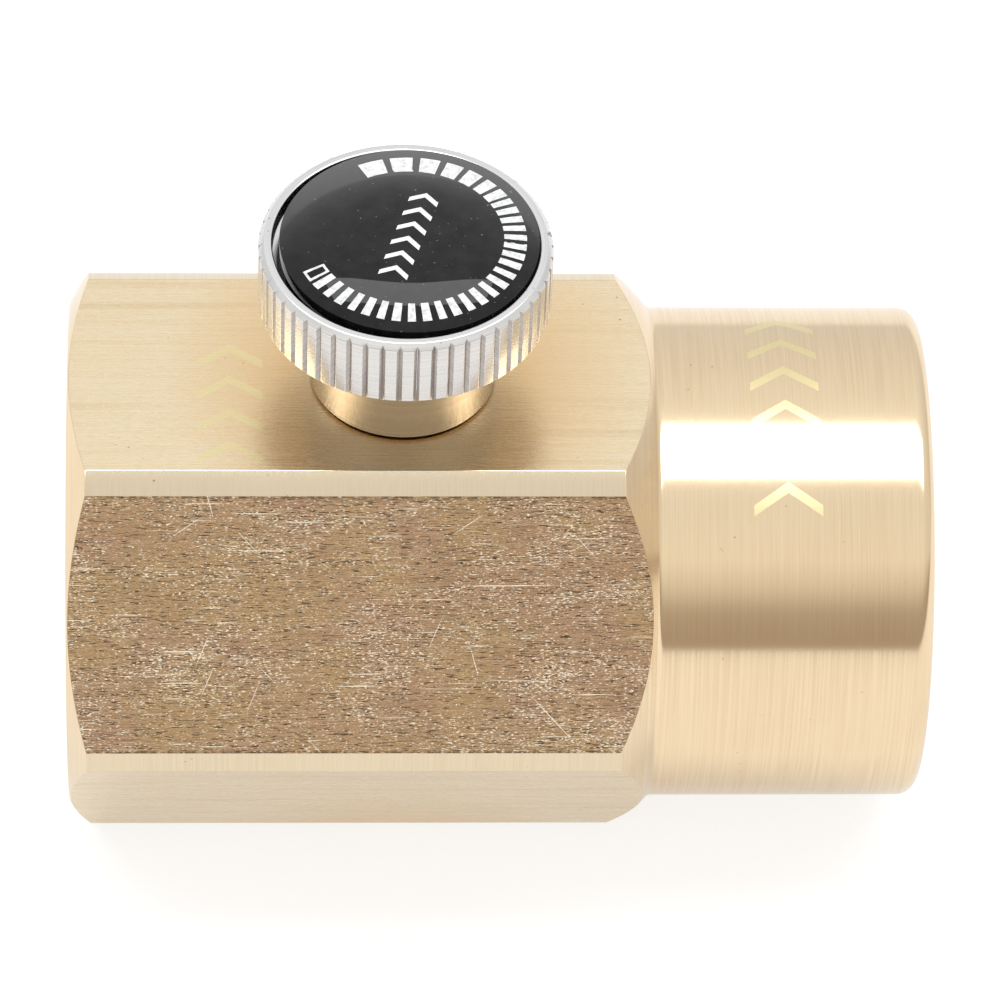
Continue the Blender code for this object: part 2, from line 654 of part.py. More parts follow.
def make_bush():
    """The screwed bush that carries the stem's thread and stops it coming out, on its soft gasket."""
    bore = STEM_THREAD_DIAMETER + RUNNING_GAP
    bush = ring("bonnet_bush", BUSH_DIAMETER, bore, BUSH_BOTTOM, BUSH_BOTTOM + BUSH_LENGTH, brass)
    bush.location.x = KNOB_X
    top = BUSH_BOTTOM + BUSH_LENGTH
    slot = box(
        "bush_slot",
        (KNOB_X - BUSH_DIAMETER, -BUSH_SLOT_WIDTH / 2, top - BUSH_SLOT_DEPTH),
        (KNOB_X + BUSH_DIAMETER, BUSH_SLOT_WIDTH / 2, top + CUT_PAST),
    )
    cut(bush, slot)
    gasket = ring(
        "bonnet_gasket",
        BUSH_DIAMETER,
        STEM_SEAL_DIAMETER + 2 * RUNNING_GAP,
        GASKET_SEAT + SEAT_GAP,
        GASKET_SEAT + SEAT_GAP + GASKET_THICKNESS,
        nylon,
    )
    gasket.location.x = KNOB_X


def knurl_cutter():
    """One square bar for each valley of the knurl, with a corner pointing at the axis."""
    bm = bmesh.new()
    reach = KNOB_DIAMETER / 2 - KNURL_DEPTH + KNURL_BAR
    for i in range(KNURL_TEETH):
        turn = Matrix.Rotation(math.tau * i / KNURL_TEETH, 4, "Z")
        at = turn @ Matrix.Translation((reach, 0, (SKIRT_BOTTOM + KNOB_TOP) / 2))
        square = {"segments": 4, "radius1": KNURL_BAR, "radius2": KNURL_BAR, "depth": 2 * KNOB_SKIRT_HEIGHT}
        bmesh.ops.create_cone(bm, cap_ends=True, matrix=at, **square)
    return mesh_of(bm, "knurl")


def make_knob():
    """The knurled knob: skirt, hub, recess for the label and a well for the screw."""
    radius = KNOB_DIAMETER / 2
    hub = KNOB_HUB_DIAMETER / 2
    recess = LABEL_RECESS_DIAMETER / 2
    well = SCREW_WELL_DIAMETER / 2
    pilot = SCREW_DIAMETER / 2
    thread_room = STEM_THREAD_DIAMETER / 2 + 2 * RUNNING_GAP
    shoulder = STEM_SHOULDER + 2 * RUNNING_GAP
    edge = KNOB_EDGE_CHAMFER
    hub_edge = HUB_EDGE_CHAMFER
    profile = [
        (pilot, WELL_FLOOR),
        (well, WELL_FLOOR),
        (well, RECESS_FLOOR),
        (recess, RECESS_FLOOR),
        (recess, KNOB_TOP),
        (radius - edge, KNOB_TOP),
        (radius, KNOB_TOP - edge),
        (radius, SKIRT_BOTTOM + edge),
        (radius - edge, SKIRT_BOTTOM),
        (hub, SKIRT_BOTTOM),
        (hub, HUB_BOTTOM + hub_edge),
        (hub - hub_edge, HUB_BOTTOM),
        (thread_room, HUB_BOTTOM),
        (thread_room, shoulder),
        (pilot, shoulder),
    ]
    knob = turned("knob", profile, nickel, steps=KNURL_TEETH, parent=knob_axis)
    knurl = place(knurl_cutter(), "knurl", None, knob_axis)
    hole = double_flat_shank(
        "knob_hole",
        STEM_SHANK_DIAMETER + 2 * RUNNING_GAP,
        STEM_SHANK_ACROSS_FLATS + 2 * RUNNING_GAP,
        shoulder - CUT_PAST,
        WELL_FLOOR + CUT_PAST,
    )
    cut(knob, knurl, hole)


def make_knob_screw():
    """The screw under the label and its washer, which hold the knob down on the stem."""
    floor = WELL_FLOOR + SEAT_GAP
    under_head = floor + LOCK_WASHER_THICKNESS + SEAT_GAP
    bore = SCREW_DIAMETER + 2 * RUNNING_GAP
    top = floor + LOCK_WASHER_THICKNESS
    ring("knob_washer", LOCK_WASHER_DIAMETER, bore, floor, top, steel, parent=knob_axis)
    head = SCREW_HEAD_DIAMETER / 2
    thread = SCREW_DIAMETER / 2
    top = under_head + SCREW_HEAD_HEIGHT
    tip = STEM_TOP - SCREW_LENGTH + SEAT_GAP
    profile = [(0, top), (head, top), (head, under_head), (thread, under_head), (thread, tip), (0, tip)]
    screw = turned("knob_screw", profile, steel, parent=knob_axis)
    slot = box(
        "screw_slot",
        (-SCREW_HEAD_DIAMETER, -SCREW_SLOT_WIDTH / 2, top - SCREW_SLOT_DEPTH),
        (SCREW_HEAD_DIAMETER, SCREW_SLOT_WIDTH / 2, top + CUT_PAST),
    )
    slot.parent = knob_axis
    cut(screw, slot)


def make_label():
    """The domed label: a printed disc under clear resin, which stands a little proud of the knob's rim."""
    radius = LABEL_DIAMETER / 2
    low = RECESS_FLOOR + SEAT_GAP
    edge = low + LABEL_EDGE_HEIGHT
    dome = []
    for i in range(DOME_RINGS + 1):
        angle = math.radians(90 * (1 - i / DOME_RINGS))
        out = radius * math.cos(angle) ** LABEL_DOME_FULLNESS
        dome.append((out, edge + LABEL_DOME_HEIGHT * math.sin(angle)))
    dome[0] = (0, edge + LABEL_DOME_HEIGHT)
    profile = [*dome, (radius, low), (0, low)]
    label = turned("dial_label", profile, black_resin, steps=COARSE_STEPS, parent=knob_axis)
    label.location.x = LABEL_OFFSET


def smooth_by_angle():
    """Shades every face smooth and leaves the edges between steep faces sharp."""
    group = bpy.data.node_groups.new("smooth_by_angle", "GeometryNodeTree")
    for direction in ("INPUT", "OUTPUT"):
        group.interface.new_socket(name="Geometry", in_out=direction, socket_type="NodeSocketGeometry")
    start = group.nodes.new("NodeGroupInput")
    faces = group.nodes.new("GeometryNodeSetShadeSmooth")
    bend = group.nodes.new("GeometryNodeInputMeshEdgeAngle")
    steep = group.nodes.new("FunctionNodeCompare")
    steep.inputs["B"].default_value = SHARP_EDGE_ANGLE
    edges = group.nodes.new("GeometryNodeSetShadeSmooth")
    edges.domain = "EDGE"
    edges.inputs["Shade Smooth"].default_value = False
    end = group.nodes.new("NodeGroupOutput")
    group.links.new(start.outputs[0], faces.inputs["Geometry"])
    group.links.new(faces.outputs["Geometry"], edges.inputs["Geometry"])
    group.links.new(bend.outputs["Unsigned Angle"], steep.inputs["A"])
    group.links.new(steep.outputs["Result"], edges.inputs["Selection"])
    group.links.new(edges.outputs["Geometry"], end.inputs[0])
    return group


def axis_empty(name):
    made = bpy.data.objects.new(name, None)
    adapter.objects.link(made)
    made.location = (KNOB_X, 0, 0)
    return made


for old in list(bpy.data.objects):
    bpy.data.objects.remove(old)
adapter = collection("cylinder_filling_adapter")
cutters = collection("cutters")
brass = material("brass", (0.78, 0.62, 0.36), 0.28, 1.0)
nickel = material("nickel_plate", (0.72, 0.71, 0.69), 0.22, 1.0)
steel = material("stainless_steel", (0.62, 0.62, 0.62), 0.3, 1.0)
bronze = material("sintered_bronze", (0.55, 0.36, 0.2), 0.7, 1.0)
nylon = material("white_nylon", (0.85, 0.84, 0.8), 0.5, 0.0)
rubber = material("black_rubber", (0.03, 0.03, 0.03), 0.7, 0.0)
black_resin = material("black_resin", (0.02, 0.02, 0.022), 0.05, 0.0)
knob_axis = axis_empty("knob_turn_axis")
slide_axis = axis_empty("cone_slide_axis")

make_body()
make_seats()
make_filter()
make_pin_guide()
make_push_pin()
make_pin_spring()
make_cone()
make_stem()
make_stem_seals()
make_bush()
make_knob()
make_knob_screw()
make_label()

shading = smooth_by_angle()
for piece in adapter.objects:
    if piece.type == "MESH":
        piece.modifiers.new("smooth_by_angle", "NODES").node_group = shading
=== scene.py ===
import math

import bpy
from mathutils import Matrix, Vector


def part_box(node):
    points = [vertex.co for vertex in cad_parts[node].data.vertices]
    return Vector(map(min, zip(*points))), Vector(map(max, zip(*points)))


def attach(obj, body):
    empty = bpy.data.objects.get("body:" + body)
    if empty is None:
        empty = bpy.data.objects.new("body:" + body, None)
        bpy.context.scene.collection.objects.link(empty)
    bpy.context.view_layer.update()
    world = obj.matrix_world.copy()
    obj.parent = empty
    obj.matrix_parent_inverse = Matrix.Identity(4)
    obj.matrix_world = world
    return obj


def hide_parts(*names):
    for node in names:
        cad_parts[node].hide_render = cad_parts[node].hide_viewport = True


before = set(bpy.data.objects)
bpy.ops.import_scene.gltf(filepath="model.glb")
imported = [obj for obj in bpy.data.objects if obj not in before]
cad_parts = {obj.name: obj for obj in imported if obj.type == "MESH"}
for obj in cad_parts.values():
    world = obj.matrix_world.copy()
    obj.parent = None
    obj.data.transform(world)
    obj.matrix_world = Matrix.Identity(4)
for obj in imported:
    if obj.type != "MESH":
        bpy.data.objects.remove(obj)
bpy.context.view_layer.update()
mm = 0.001

bodyLow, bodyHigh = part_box("valve_body")
knobLow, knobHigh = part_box("knob")
labelLow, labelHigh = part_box("dial_label")
axisHeight = (bodyLow.z + bodyHigh.z) / 2
knobX = (knobLow.x + knobHigh.x) / 2
print("frame loaded:", len(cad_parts), "pieces")


def selectOnly(piece):
    bpy.ops.object.select_all(action="DESELECT")
    piece.select_set(True)
    bpy.context.view_layer.objects.active = piece


def startEdit(piece, mode="VERT"):
    selectOnly(piece)
    bpy.ops.object.mode_set(mode="EDIT")
    bpy.ops.mesh.select_mode(type=mode)


def stopEdit():
    bpy.ops.object.mode_set(mode="OBJECT")


def settle(piece):
    selectOnly(piece)
    bpy.ops.object.transform_apply(location=True, rotation=True, scale=True)


def layAlongX(piece):
    piece.rotation_euler = (0, math.radians(90), 0)
    piece.location = (0, 0, axisHeight)
    settle(piece)


def standOnKnobAxis(piece):
    piece.location = (knobX, 0, 0)
    settle(piece)


def applyAll(piece):
    selectOnly(piece)
    for modifier in list(piece.modifiers):
        bpy.ops.object.modifier_apply(modifier=modifier.name)


def smooth(piece, angle=20):
    selectOnly(piece)
    bpy.ops.object.shade_smooth_by_angle(angle=math.radians(angle))


def combine(piece, tool, operation="DIFFERENCE"):
    modifier = piece.modifiers.new("combine", "BOOLEAN")
    modifier.object = tool
    modifier.operation = operation
    applyAll(piece)
    bpy.data.objects.remove(tool)


def startRing(name, radius, height, segments, fill, mode):
    bpy.ops.mesh.primitive_circle_add(
        vertices=segments, radius=radius, fill_type=fill, location=(0, 0, height))
    piece = bpy.context.object
    piece.name = name
    settle(piece)
    startEdit(piece, mode)
    bpy.ops.mesh.select_all(action="SELECT")
    return piece


def growRings(radius, height, points):
    for nextRadius, nextHeight in points:
        bpy.ops.mesh.extrude_region_move(TRANSFORM_OT_translate={"value": (0, 0, nextHeight - height)})
        if nextRadius != radius:
            grow = nextRadius / radius
            bpy.ops.transform.resize(value=(grow, grow, 1), center_override=(0, 0, nextHeight))
        radius, height = nextRadius, nextHeight


def turnSolid(name, profile, segments=192):
    # profile is (radius, height) in order, the first and last rings are closed with a flat face
    radius, height = profile[0]
    piece = startRing(name, radius, height, segments, "NGON", "VERT")
    growRings(radius, height, profile[1:])
    bpy.ops.mesh.select_all(action="SELECT")
    bpy.ops.mesh.normals_make_consistent(inside=False)
    stopEdit()
    return piece


def turnRing(name, profile, segments=192):
    # the same for a ring: the profile goes round and comes back to its first point
    radius, height = profile[0]
    piece = startRing(name, radius, height, segments, "NOTHING", "EDGE")
    growRings(radius, height, [*profile[1:], profile[0]])
    bpy.ops.mesh.select_all(action="SELECT")
    bpy.ops.mesh.remove_doubles(threshold=0.000001)
    bpy.ops.mesh.normals_make_consistent(inside=False)
    stopEdit()
    return piece


def cornerArc(radius, height, size, first, last, steps=6):
    # points of a small rounding about (radius, height), angles in degrees from the outward direction
    points = []
    for i in range(steps + 1):
        angle = math.radians(first + (last - first) * i / steps)
        points.append((radius + size * math.cos(angle), height + size * math.sin(angle)))
    return points


def softenEdges(piece, width, angle=25, segments=2):
    bevel = piece.modifiers.new("soften", "BEVEL")
    bevel.width = width
    bevel.segments = segments
    bevel.limit_method = "ANGLE"
    bevel.angle_limit = math.radians(angle)
    bevel.use_clamp_overlap = True
    applyAll(piece)


def newMaterial(name):
    material = bpy.data.materials.new(name)
    material.use_nodes = True
    nodes = material.node_tree.nodes
    return material, nodes, material.node_tree.links, nodes["Principled BSDF"]


def newGroup(name, inputs, outputs):
    group = bpy.data.node_groups.new(name, "ShaderNodeTree")
    for socketName, kind, value in inputs:
        socket = group.interface.new_socket(name=socketName, in_out="INPUT", socket_type=kind)
        if value is not None:
            socket.default_value = value
    for socketName, kind in outputs:
        group.interface.new_socket(name=socketName, in_out="OUTPUT", socket_type=kind)
    return group, group.nodes.new("NodeGroupInput"), group.nodes.new("NodeGroupOutput")


def mathNode(tree, operation, first, second=None, third=None, clamp=False):
    node = tree.nodes.new("ShaderNodeMath")
    node.operation = operation
    node.use_clamp = clamp
    for i, value in enumerate((first, second, third)):
        if value is None:
            continue
        if isinstance(value, (int, float)):
            node.inputs[i].default_value = value
        else:
            tree.links.new(value, node.inputs[i])
    return node.outputs[0]


def vectorNode(tree, operation, first, second):
    node = tree.nodes.new("ShaderNodeVectorMath")
    node.operation = operation
    for i, value in enumerate((first, second)):
        if isinstance(value, (tuple, Vector)):
            node.inputs[i].default_value = value
        else:
            tree.links.new(value, node.inputs[i])
    return node.outputs[0]


def noiseNode(tree, vector, scale, detail=2, roughness=0.5):
    node = tree.nodes.new("ShaderNodeTexNoise")
    tree.links.new(vector, node.inputs["Vector"])
    node.inputs["Scale"].default_value = scale
    node.inputs["Detail"].default_value = detail
    node.inputs["Roughness"].default_value = roughness
    return node.outputs["Fac"]


def rampNode(tree, value, low, high, toLow=0.0, toHigh=1.0):
    node = tree.nodes.new("ShaderNodeMapRange")
    tree.links.new(value, node.inputs["Value"])
    node.inputs["From Min"].default_value = low
    node.inputs["From Max"].default_value = high
    node.inputs["To Min"].default_value = toLow
    node.inputs["To Max"].default_value = toHigh
    return node.outputs["Result"]


def mixColours(tree, factor, first, second, blend="MIX"):
    node = tree.nodes.new("ShaderNodeMix")
    node.data_type = "RGBA"
    node.blend_type = blend
    for socket, value in ((node.inputs[0], factor), (node.inputs[6], first), (node.inputs[7], second)):
        if isinstance(value, (int, float)):
            socket.default_value = value
        elif isinstance(value, tuple):
            socket.default_value = (*value, 1)
        else:
            tree.links.new(value, socket)
    return node.outputs[2]


def placeGroup(tree, group, vector=None, **values):
    node = tree.nodes.new("ShaderNodeGroup")
    node.node_tree = group
    if vector is not None:
        tree.links.new(vector, node.inputs["Vector"])
    for socketName, value in values.items():
        node.inputs[socketName].default_value = value
    return node


def objectVector(tree, centre=(0, 0, 0), turn=(0, 0, 0)):
    coordinates = tree.nodes.new("ShaderNodeTexCoord")
    mapping = tree.nodes.new("ShaderNodeMapping")
    mapping.vector_type = "TEXTURE"
    mapping.inputs["Location"].default_value = centre
    mapping.inputs["Rotation"].default_value = turn
    tree.links.new(coordinates.outputs["Object"], mapping.inputs["Vector"])
    return mapping.outputs["Vector"]


def bumpInto(tree, shader, height, distance, strength=1.0):
    bump = tree.nodes.new("ShaderNodeBump")
    bump.inputs["Strength"].default_value = strength
    bump.inputs["Distance"].default_value = distance
    tree.links.new(height, bump.inputs["Height"])
    tree.links.new(bump.outputs["Normal"], shader.inputs["Normal"])


# straight tool lines: fine streaks along X, with broad bands and blotches
def makeStraightLines():
    group, ins, outs = newGroup(
        "straightLines",
        [("Vector", "NodeSocketVector", None), ("Stretch", "NodeSocketFloat", 40.0)],
        [("Lines", "NodeSocketFloat"), ("Bands", "NodeSocketFloat"), ("Grain", "NodeSocketFloat")],
    )
    scaled = group.nodes.new("ShaderNodeVectorMath")
    scaled.operation = "MULTIPLY"
    group.links.new(ins.outputs["Vector"], scaled.inputs[0])
    combine = group.nodes.new("ShaderNodeCombineXYZ")
    combine.inputs["X"].default_value = 1.0
    group.links.new(ins.outputs["Stretch"], combine.inputs["Y"])
    group.links.new(ins.outputs["Stretch"], combine.inputs["Z"])
    group.links.new(combine.outputs[0], scaled.inputs[1])
    group.links.new(noiseNode(group, scaled.outputs[0], 220, 4, 0.7), outs.inputs["Lines"])
    group.links.new(noiseNode(group, scaled.outputs[0], 30, 2, 0.5), outs.inputs["Bands"])
    group.links.new(noiseNode(group, ins.outputs["Vector"], 900, 3, 0.6), outs.inputs["Grain"])
    return group


# turned tool lines: rings round the piece's own Z axis
def makeTurnedLines():
    group, ins, outs = newGroup(
        "turnedLines",
        [("Vector", "NodeSocketVector", None)],
        [("Lines", "NodeSocketFloat"), ("Bands", "NodeSocketFloat"), ("Grain", "NodeSocketFloat")],
    )
    split = group.nodes.new("ShaderNodeSeparateXYZ")
    group.links.new(ins.outputs["Vector"], split.inputs[0])
    square = mathNode(group, "ADD", mathNode(group, "MULTIPLY", split.outputs["X"], split.outputs["X"]),
                      mathNode(group, "MULTIPLY", split.outputs["Y"], split.outputs["Y"]))
    radius = mathNode(group, "SQRT", square)
    flatX = mathNode(group, "MULTIPLY", split.outputs["X"], 0.012)
    flatY = mathNode(group, "MULTIPLY", split.outputs["Y"], 0.012)
    along = mathNode(group, "ADD", split.outputs["Z"], mathNode(group, "MULTIPLY", radius, 1.7))
    combine = group.nodes.new("ShaderNodeCombineXYZ")
    group.links.new(along, combine.inputs["X"])
    group.links.new(flatX, combine.inputs["Y"])
    group.links.new(flatY, combine.inputs["Z"])
    group.links.new(noiseNode(group, combine.outputs[0], 7000, 3, 0.7), outs.inputs["Lines"])
    group.links.new(noiseNode(group, combine.outputs[0], 700, 2, 0.5), outs.inputs["Bands"])
    group.links.new(noiseNode(group, ins.outputs["Vector"], 1100, 3, 0.6), outs.inputs["Grain"])
    return group


def scaledVector(tree, vector, factors):
    return vectorNode(tree, "MULTIPLY", vector, factors)


# very fine flecks that lie in rows along X, thicker in some patches, and a few long thin lines
def makeFlecks():
    group, ins, outs = newGroup(
        "flecks",
        [("Vector", "NodeSocketVector", None), ("Light", "NodeSocketFloat", 0.6),
         ("Dark", "NodeSocketFloat", 0.6)],
        [("Light", "NodeSocketFloat"), ("Dark", "NodeSocketFloat")],
    )
    vector = ins.outputs["Vector"]
    patch = noiseNode(group, scaledVector(group, vector, (0.6, 1.6, 1.6)), 330, 3, 0.6)
    lift = mathNode(group, "MULTIPLY", mathNode(group, "SUBTRACT", patch, 0.5), 0.34)
    fine = noiseNode(group, scaledVector(group, vector, (5200, 15500, 15500)), 1, 1, 0.4)
    other = noiseNode(group, scaledVector(group, vector, (1500, 19000, 19000)), 1, 2, 0.6)
    long = noiseNode(group, scaledVector(group, vector, (300, 11500, 11500)), 1, 1, 0.4)
    light = rampNode(group, mathNode(group, "ADD", fine, lift), 0.62, 0.71)
    streak = rampNode(group, mathNode(group, "ADD", long, lift), 0.69, 0.79)
    brightest = mathNode(group, "MAXIMUM", light, streak)
    light = mathNode(group, "MULTIPLY", brightest, ins.outputs["Light"], clamp=True)
    dark = rampNode(group, mathNode(group, "ADD", other, mathNode(group, "MULTIPLY", lift, 0.3)), 0.475, 0.62)
    dark = mathNode(group, "MULTIPLY", dark, ins.outputs["Dark"], clamp=True)
    group.links.new(light, outs.inputs["Light"])
    group.links.new(dark, outs.inputs["Dark"])
    return group


# a few long scratches that cross the front flat at odd angles
def makeStrayScratches():
    group, ins, outs = newGroup(
        "strayScratches", [("Vector", "NodeSocketVector", None)], [("Mask", "NodeSocketFloat")])
    flat = group.nodes.new("ShaderNodeMapping")
    flat.inputs["Rotation"].default_value = (math.radians(-60), 0, 0)
    group.links.new(ins.outputs["Vector"], flat.inputs["Vector"])
    total = None
    for turn, shift in ((48, 0.3), (75, 0.7), (112, 0.1), (-35, 0.5)):
        mapping = group.nodes.new("ShaderNodeMapping")
        mapping.inputs["Location"].default_value = (shift, shift, 0)
        mapping.inputs["Rotation"].default_value = (0, 0, math.radians(turn))
        group.links.new(flat.outputs[0], mapping.inputs["Vector"])
        line = noiseNode(group, scaledVector(group, mapping.outputs[0], (150, 8200, 1)), 1, 0, 0)
        one = rampNode(group, line, 0.845, 0.88)
        total = one if total is None else mathNode(group, "MAXIMUM", total, one)
    group.links.new(total, outs.inputs["Mask"])
    return group


# small dark specks, few and uneven
def makeSpecks():
    group, ins, outs = newGroup(
        "specks", [("Vector", "NodeSocketVector", None), ("Amount", "NodeSocketFloat", 0.5)],
        [("Mask", "NodeSocketFloat")])
    cells = group.nodes.new("ShaderNodeTexVoronoi")
    cells.inputs["Scale"].default_value = 1500
    group.links.new(ins.outputs["Vector"], cells.inputs["Vector"])
    dot = rampNode(group, cells.outputs["Distance"], 0.06, 0.13, 1.0, 0.0)
    patch = rampNode(group, noiseNode(group, ins.outputs["Vector"], 240, 3, 0.7), 0.56, 0.66)
    patchy = mathNode(group, "MULTIPLY", dot, patch)
    mask = mathNode(group, "MULTIPLY", patchy, ins.outputs["Amount"], clamp=True)
    group.links.new(mask, outs.inputs["Mask"])
    return group


# a row of plain chevrons: the vector's X runs along the row and Y across it, both in metres
def makeChevronRow():
    group, ins, outs = newGroup(
        "chevronRow",
        [("Vector", "NodeSocketVector", None), ("Pitch", "NodeSocketFloat", 0.002),
         ("Stroke", "NodeSocketFloat", 0.2), ("HalfWidth", "NodeSocketFloat", 0.002),
         ("HalfLength", "NodeSocketFloat", 0.007)],
        [("Mask", "NodeSocketFloat")])
    split = group.nodes.new("ShaderNodeSeparateXYZ")
    group.links.new(ins.outputs["Vector"], split.inputs[0])
    across = mathNode(group, "ABSOLUTE", split.outputs["Y"])
    slant = mathNode(group, "MULTIPLY", across, 0.7)
    bent = mathNode(group, "ADD", split.outputs["X"], slant)
    phase = mathNode(group, "FRACT", mathNode(group, "DIVIDE", bent, ins.outputs["Pitch"]))
    bars = mathNode(group, "LESS_THAN", phase, ins.outputs["Stroke"])
    wide = mathNode(group, "LESS_THAN", across, ins.outputs["HalfWidth"])
    along = mathNode(group, "LESS_THAN", mathNode(group, "ABSOLUTE", bent), ins.outputs["HalfLength"])
    mask = mathNode(group, "MULTIPLY", mathNode(group, "MULTIPLY", bars, wide), along)
    group.links.new(mask, outs.inputs["Mask"])
    return group


straightLines = makeStraightLines()
turnedLines = makeTurnedLines()
flecks = makeFlecks()
strayScratches = makeStrayScratches()
specks = makeSpecks()
chevronRow = makeChevronRow()
print("effects built")

# brass tones; the knob-shade tone is painted shade and reflection, mixed into the flat round the knob's foot
brassLook = {
    "base": (0.87, 0.7, 0.46), "pale": (0.95, 0.81, 0.58), "deep": (0.76, 0.58, 0.35),
    "grime": (0.2, 0.13, 0.07), "pink": (0.65, 0.43, 0.27), "yellow": (0.67, 0.465, 0.255),
    "etched": (0.86, 0.78, 0.4), "paintedKnobShade": (0.82, 0.55, 0.27), "groove": (0.42, 0.28, 0.17),
    "pit": (0.13, 0.08, 0.045), "fleck": (1.0, 0.91, 0.73), "scratch": (1.0, 0.95, 0.84),
    "shine": (1.0, 0.9, 0.68), "darkEdgeLine": (0.12, 0.08, 0.05),
}


collarMarks = {"radius": 14.55 * mm, "shift": 0.5 * mm, "centre": 16.6 * mm}


def ringDistance(tree, vector):
    # distance from the body's axis, for a vector measured from it
    split = tree.nodes.new("ShaderNodeSeparateXYZ")
    tree.links.new(vector, split.inputs[0])
    squares = [mathNode(tree, "MULTIPLY", split.outputs[axis], split.outputs[axis]) for axis in ("Y", "Z")]
    return mathNode(tree, "SQRT", mathNode(tree, "ADD", *squares)), split


def brassMilled():
    material, nodes, links, shader = newMaterial("brassMilled")
    tree = material.node_tree
    vector = objectVector(tree)
    lines = placeGroup(tree, straightLines, vector, Stretch=34.0)
    grain = placeGroup(tree, flecks, vector, Light=0.5, Dark=0.1)
    spots = placeGroup(tree, specks, vector, Amount=0.8)
    streak = rampNode(tree, lines.outputs["Lines"], 0.38, 0.66)
    colour = mixColours(tree, streak, brassLook["base"], brassLook["pale"])
    band = rampNode(tree, lines.outputs["Bands"], 0.56, 0.74, 0.0, 0.5)
    colour = mixColours(tree, band, colour, brassLook["deep"])
    colour = mixColours(tree, grain.outputs["Light"], colour, brassLook["shine"])
    colour = mixColours(tree, grain.outputs["Dark"], colour, brassLook["grime"])
    colour = mixColours(tree, spots.outputs["Mask"], colour, brassLook["grime"])
    # painted shade and reflection: the flat round the knob's foot is mixed towards a darker, warmer brass,
    # strongest close to the knob and gone 14 mm out, standing in for the knob's shade and its reflection in
    # the flat
    fromKnob = vectorNode(tree, "MULTIPLY", objectVector(tree, onKnobAxis), (1, 1, 0))
    reach = tree.nodes.new("ShaderNodeVectorMath")
    reach.operation = "LENGTH"
    links.new(fromKnob, reach.inputs[0])
    paintedKnobShade = rampNode(tree, reach.outputs["Value"], 7 * mm, 14 * mm, 0.8, 0.0)
    colour = mixColours(tree, paintedKnobShade, colour, brassLook["paintedKnobShade"])
    row = tree.nodes.new("ShaderNodeMapping")
    row.vector_type = "TEXTURE"
    row.inputs["Location"].default_value = (-15.7 * mm, -0.8 * mm, 0)
    row.inputs["Rotation"].default_value = (0, 0, math.radians(90))
    links.new(vector, row.inputs["Vector"])
    mark = placeGroup(tree, chevronRow, row.outputs[0], Pitch=2.6 * mm, Stroke=0.24, HalfWidth=1.9 * mm,
                      HalfLength=5.2 * mm)
    split = tree.nodes.new("ShaderNodeSeparateXYZ")
    links.new(vector, split.inputs[0])
    onTop = mathNode(tree, "GREATER_THAN", split.outputs["Z"], bodyHigh.z - 0.1 * mm)
    shown = mathNode(tree, "MULTIPLY", mathNode(tree, "MULTIPLY", mark.outputs["Mask"], onTop), 0.5)
    colour = mixColours(tree, shown, colour, brassLook["etched"])
    links.new(colour, shader.inputs["Base Color"])
    shader.inputs["Metallic"].default_value = 1.0
    links.new(rampNode(tree, lines.outputs["Lines"], 0.3, 0.7, 0.32, 0.2), shader.inputs["Roughness"])
    fine = mathNode(tree, "MULTIPLY", lines.outputs["Grain"], 0.3)
    height = mathNode(tree, "ADD", lines.outputs["Lines"], fine)
    bumpInto(tree, shader, height, 0.012 * mm)
    return material


def brassBrushed():
    material, nodes, links, shader = newMaterial("brassBrushed")
    tree = material.node_tree
    vector = objectVector(tree)
    lines = placeGroup(tree, straightLines, vector, Stretch=26.0)
    grain = placeGroup(tree, flecks, vector, Light=0.9, Dark=0.95)
    lifted = placeGroup(tree, strayScratches, vector)
    tint = rampNode(tree, noiseNode(tree, vector, 210, 2, 0.5), 0.4, 0.6)
    colour = mixColours(tree, tint, brassLook["pink"], brassLook["yellow"])
    streak = rampNode(tree, lines.outputs["Lines"], 0.36, 0.52, 0.55, 0.0)
    colour = mixColours(tree, streak, colour, brassLook["groove"])
    glow = rampNode(tree, lines.outputs["Lines"], 0.54, 0.7, 0.0, 0.4)
    colour = mixColours(tree, glow, colour, brassLook["base"])
    colour = mixColours(tree, grain.outputs["Dark"], colour, brassLook["pit"])
    colour = mixColours(tree, grain.outputs["Light"], colour, brassLook["fleck"])
    scratch = mathNode(tree, "MULTIPLY", lifted.outputs["Mask"], 0.9)
    colour = mixColours(tree, scratch, colour, brassLook["scratch"])
    # a broken dark line painted along the flat's edge, where it meets the turned corner
    away = ringDistance(tree, objectVector(tree, onBodyAxis))[0]
    edge = rampNode(tree, away, 16.78 * mm, 16.86 * mm, 0.0, 0.75)
    broken = rampNode(tree, noiseNode(tree, vector, 2600, 1, 0.5), 0.42, 0.56)
    patchyMask = mathNode(tree, "MULTIPLY", edge, broken)
    colour = mixColours(tree, patchyMask, colour, brassLook["darkEdgeLine"])
    links.new(colour, shader.inputs["Base Color"])
    pale = mathNode(tree, "MAXIMUM", grain.outputs["Light"], lifted.outputs["Mask"])
    links.new(rampNode(tree, pale, 0.0, 1.0, 1.0, 0.25), shader.inputs["Metallic"])
    links.new(rampNode(tree, lines.outputs["Lines"], 0.3, 0.7, 0.42, 0.26), shader.inputs["Roughness"])
    raised = mathNode(tree, "MULTIPLY", grain.outputs["Light"], 0.5)
    height = mathNode(tree, "ADD", lines.outputs["Lines"], raised)
    height = mathNode(tree, "SUBTRACT", height, grain.outputs["Dark"])
    bumpInto(tree, shader, height, 0.01 * mm)
    return material


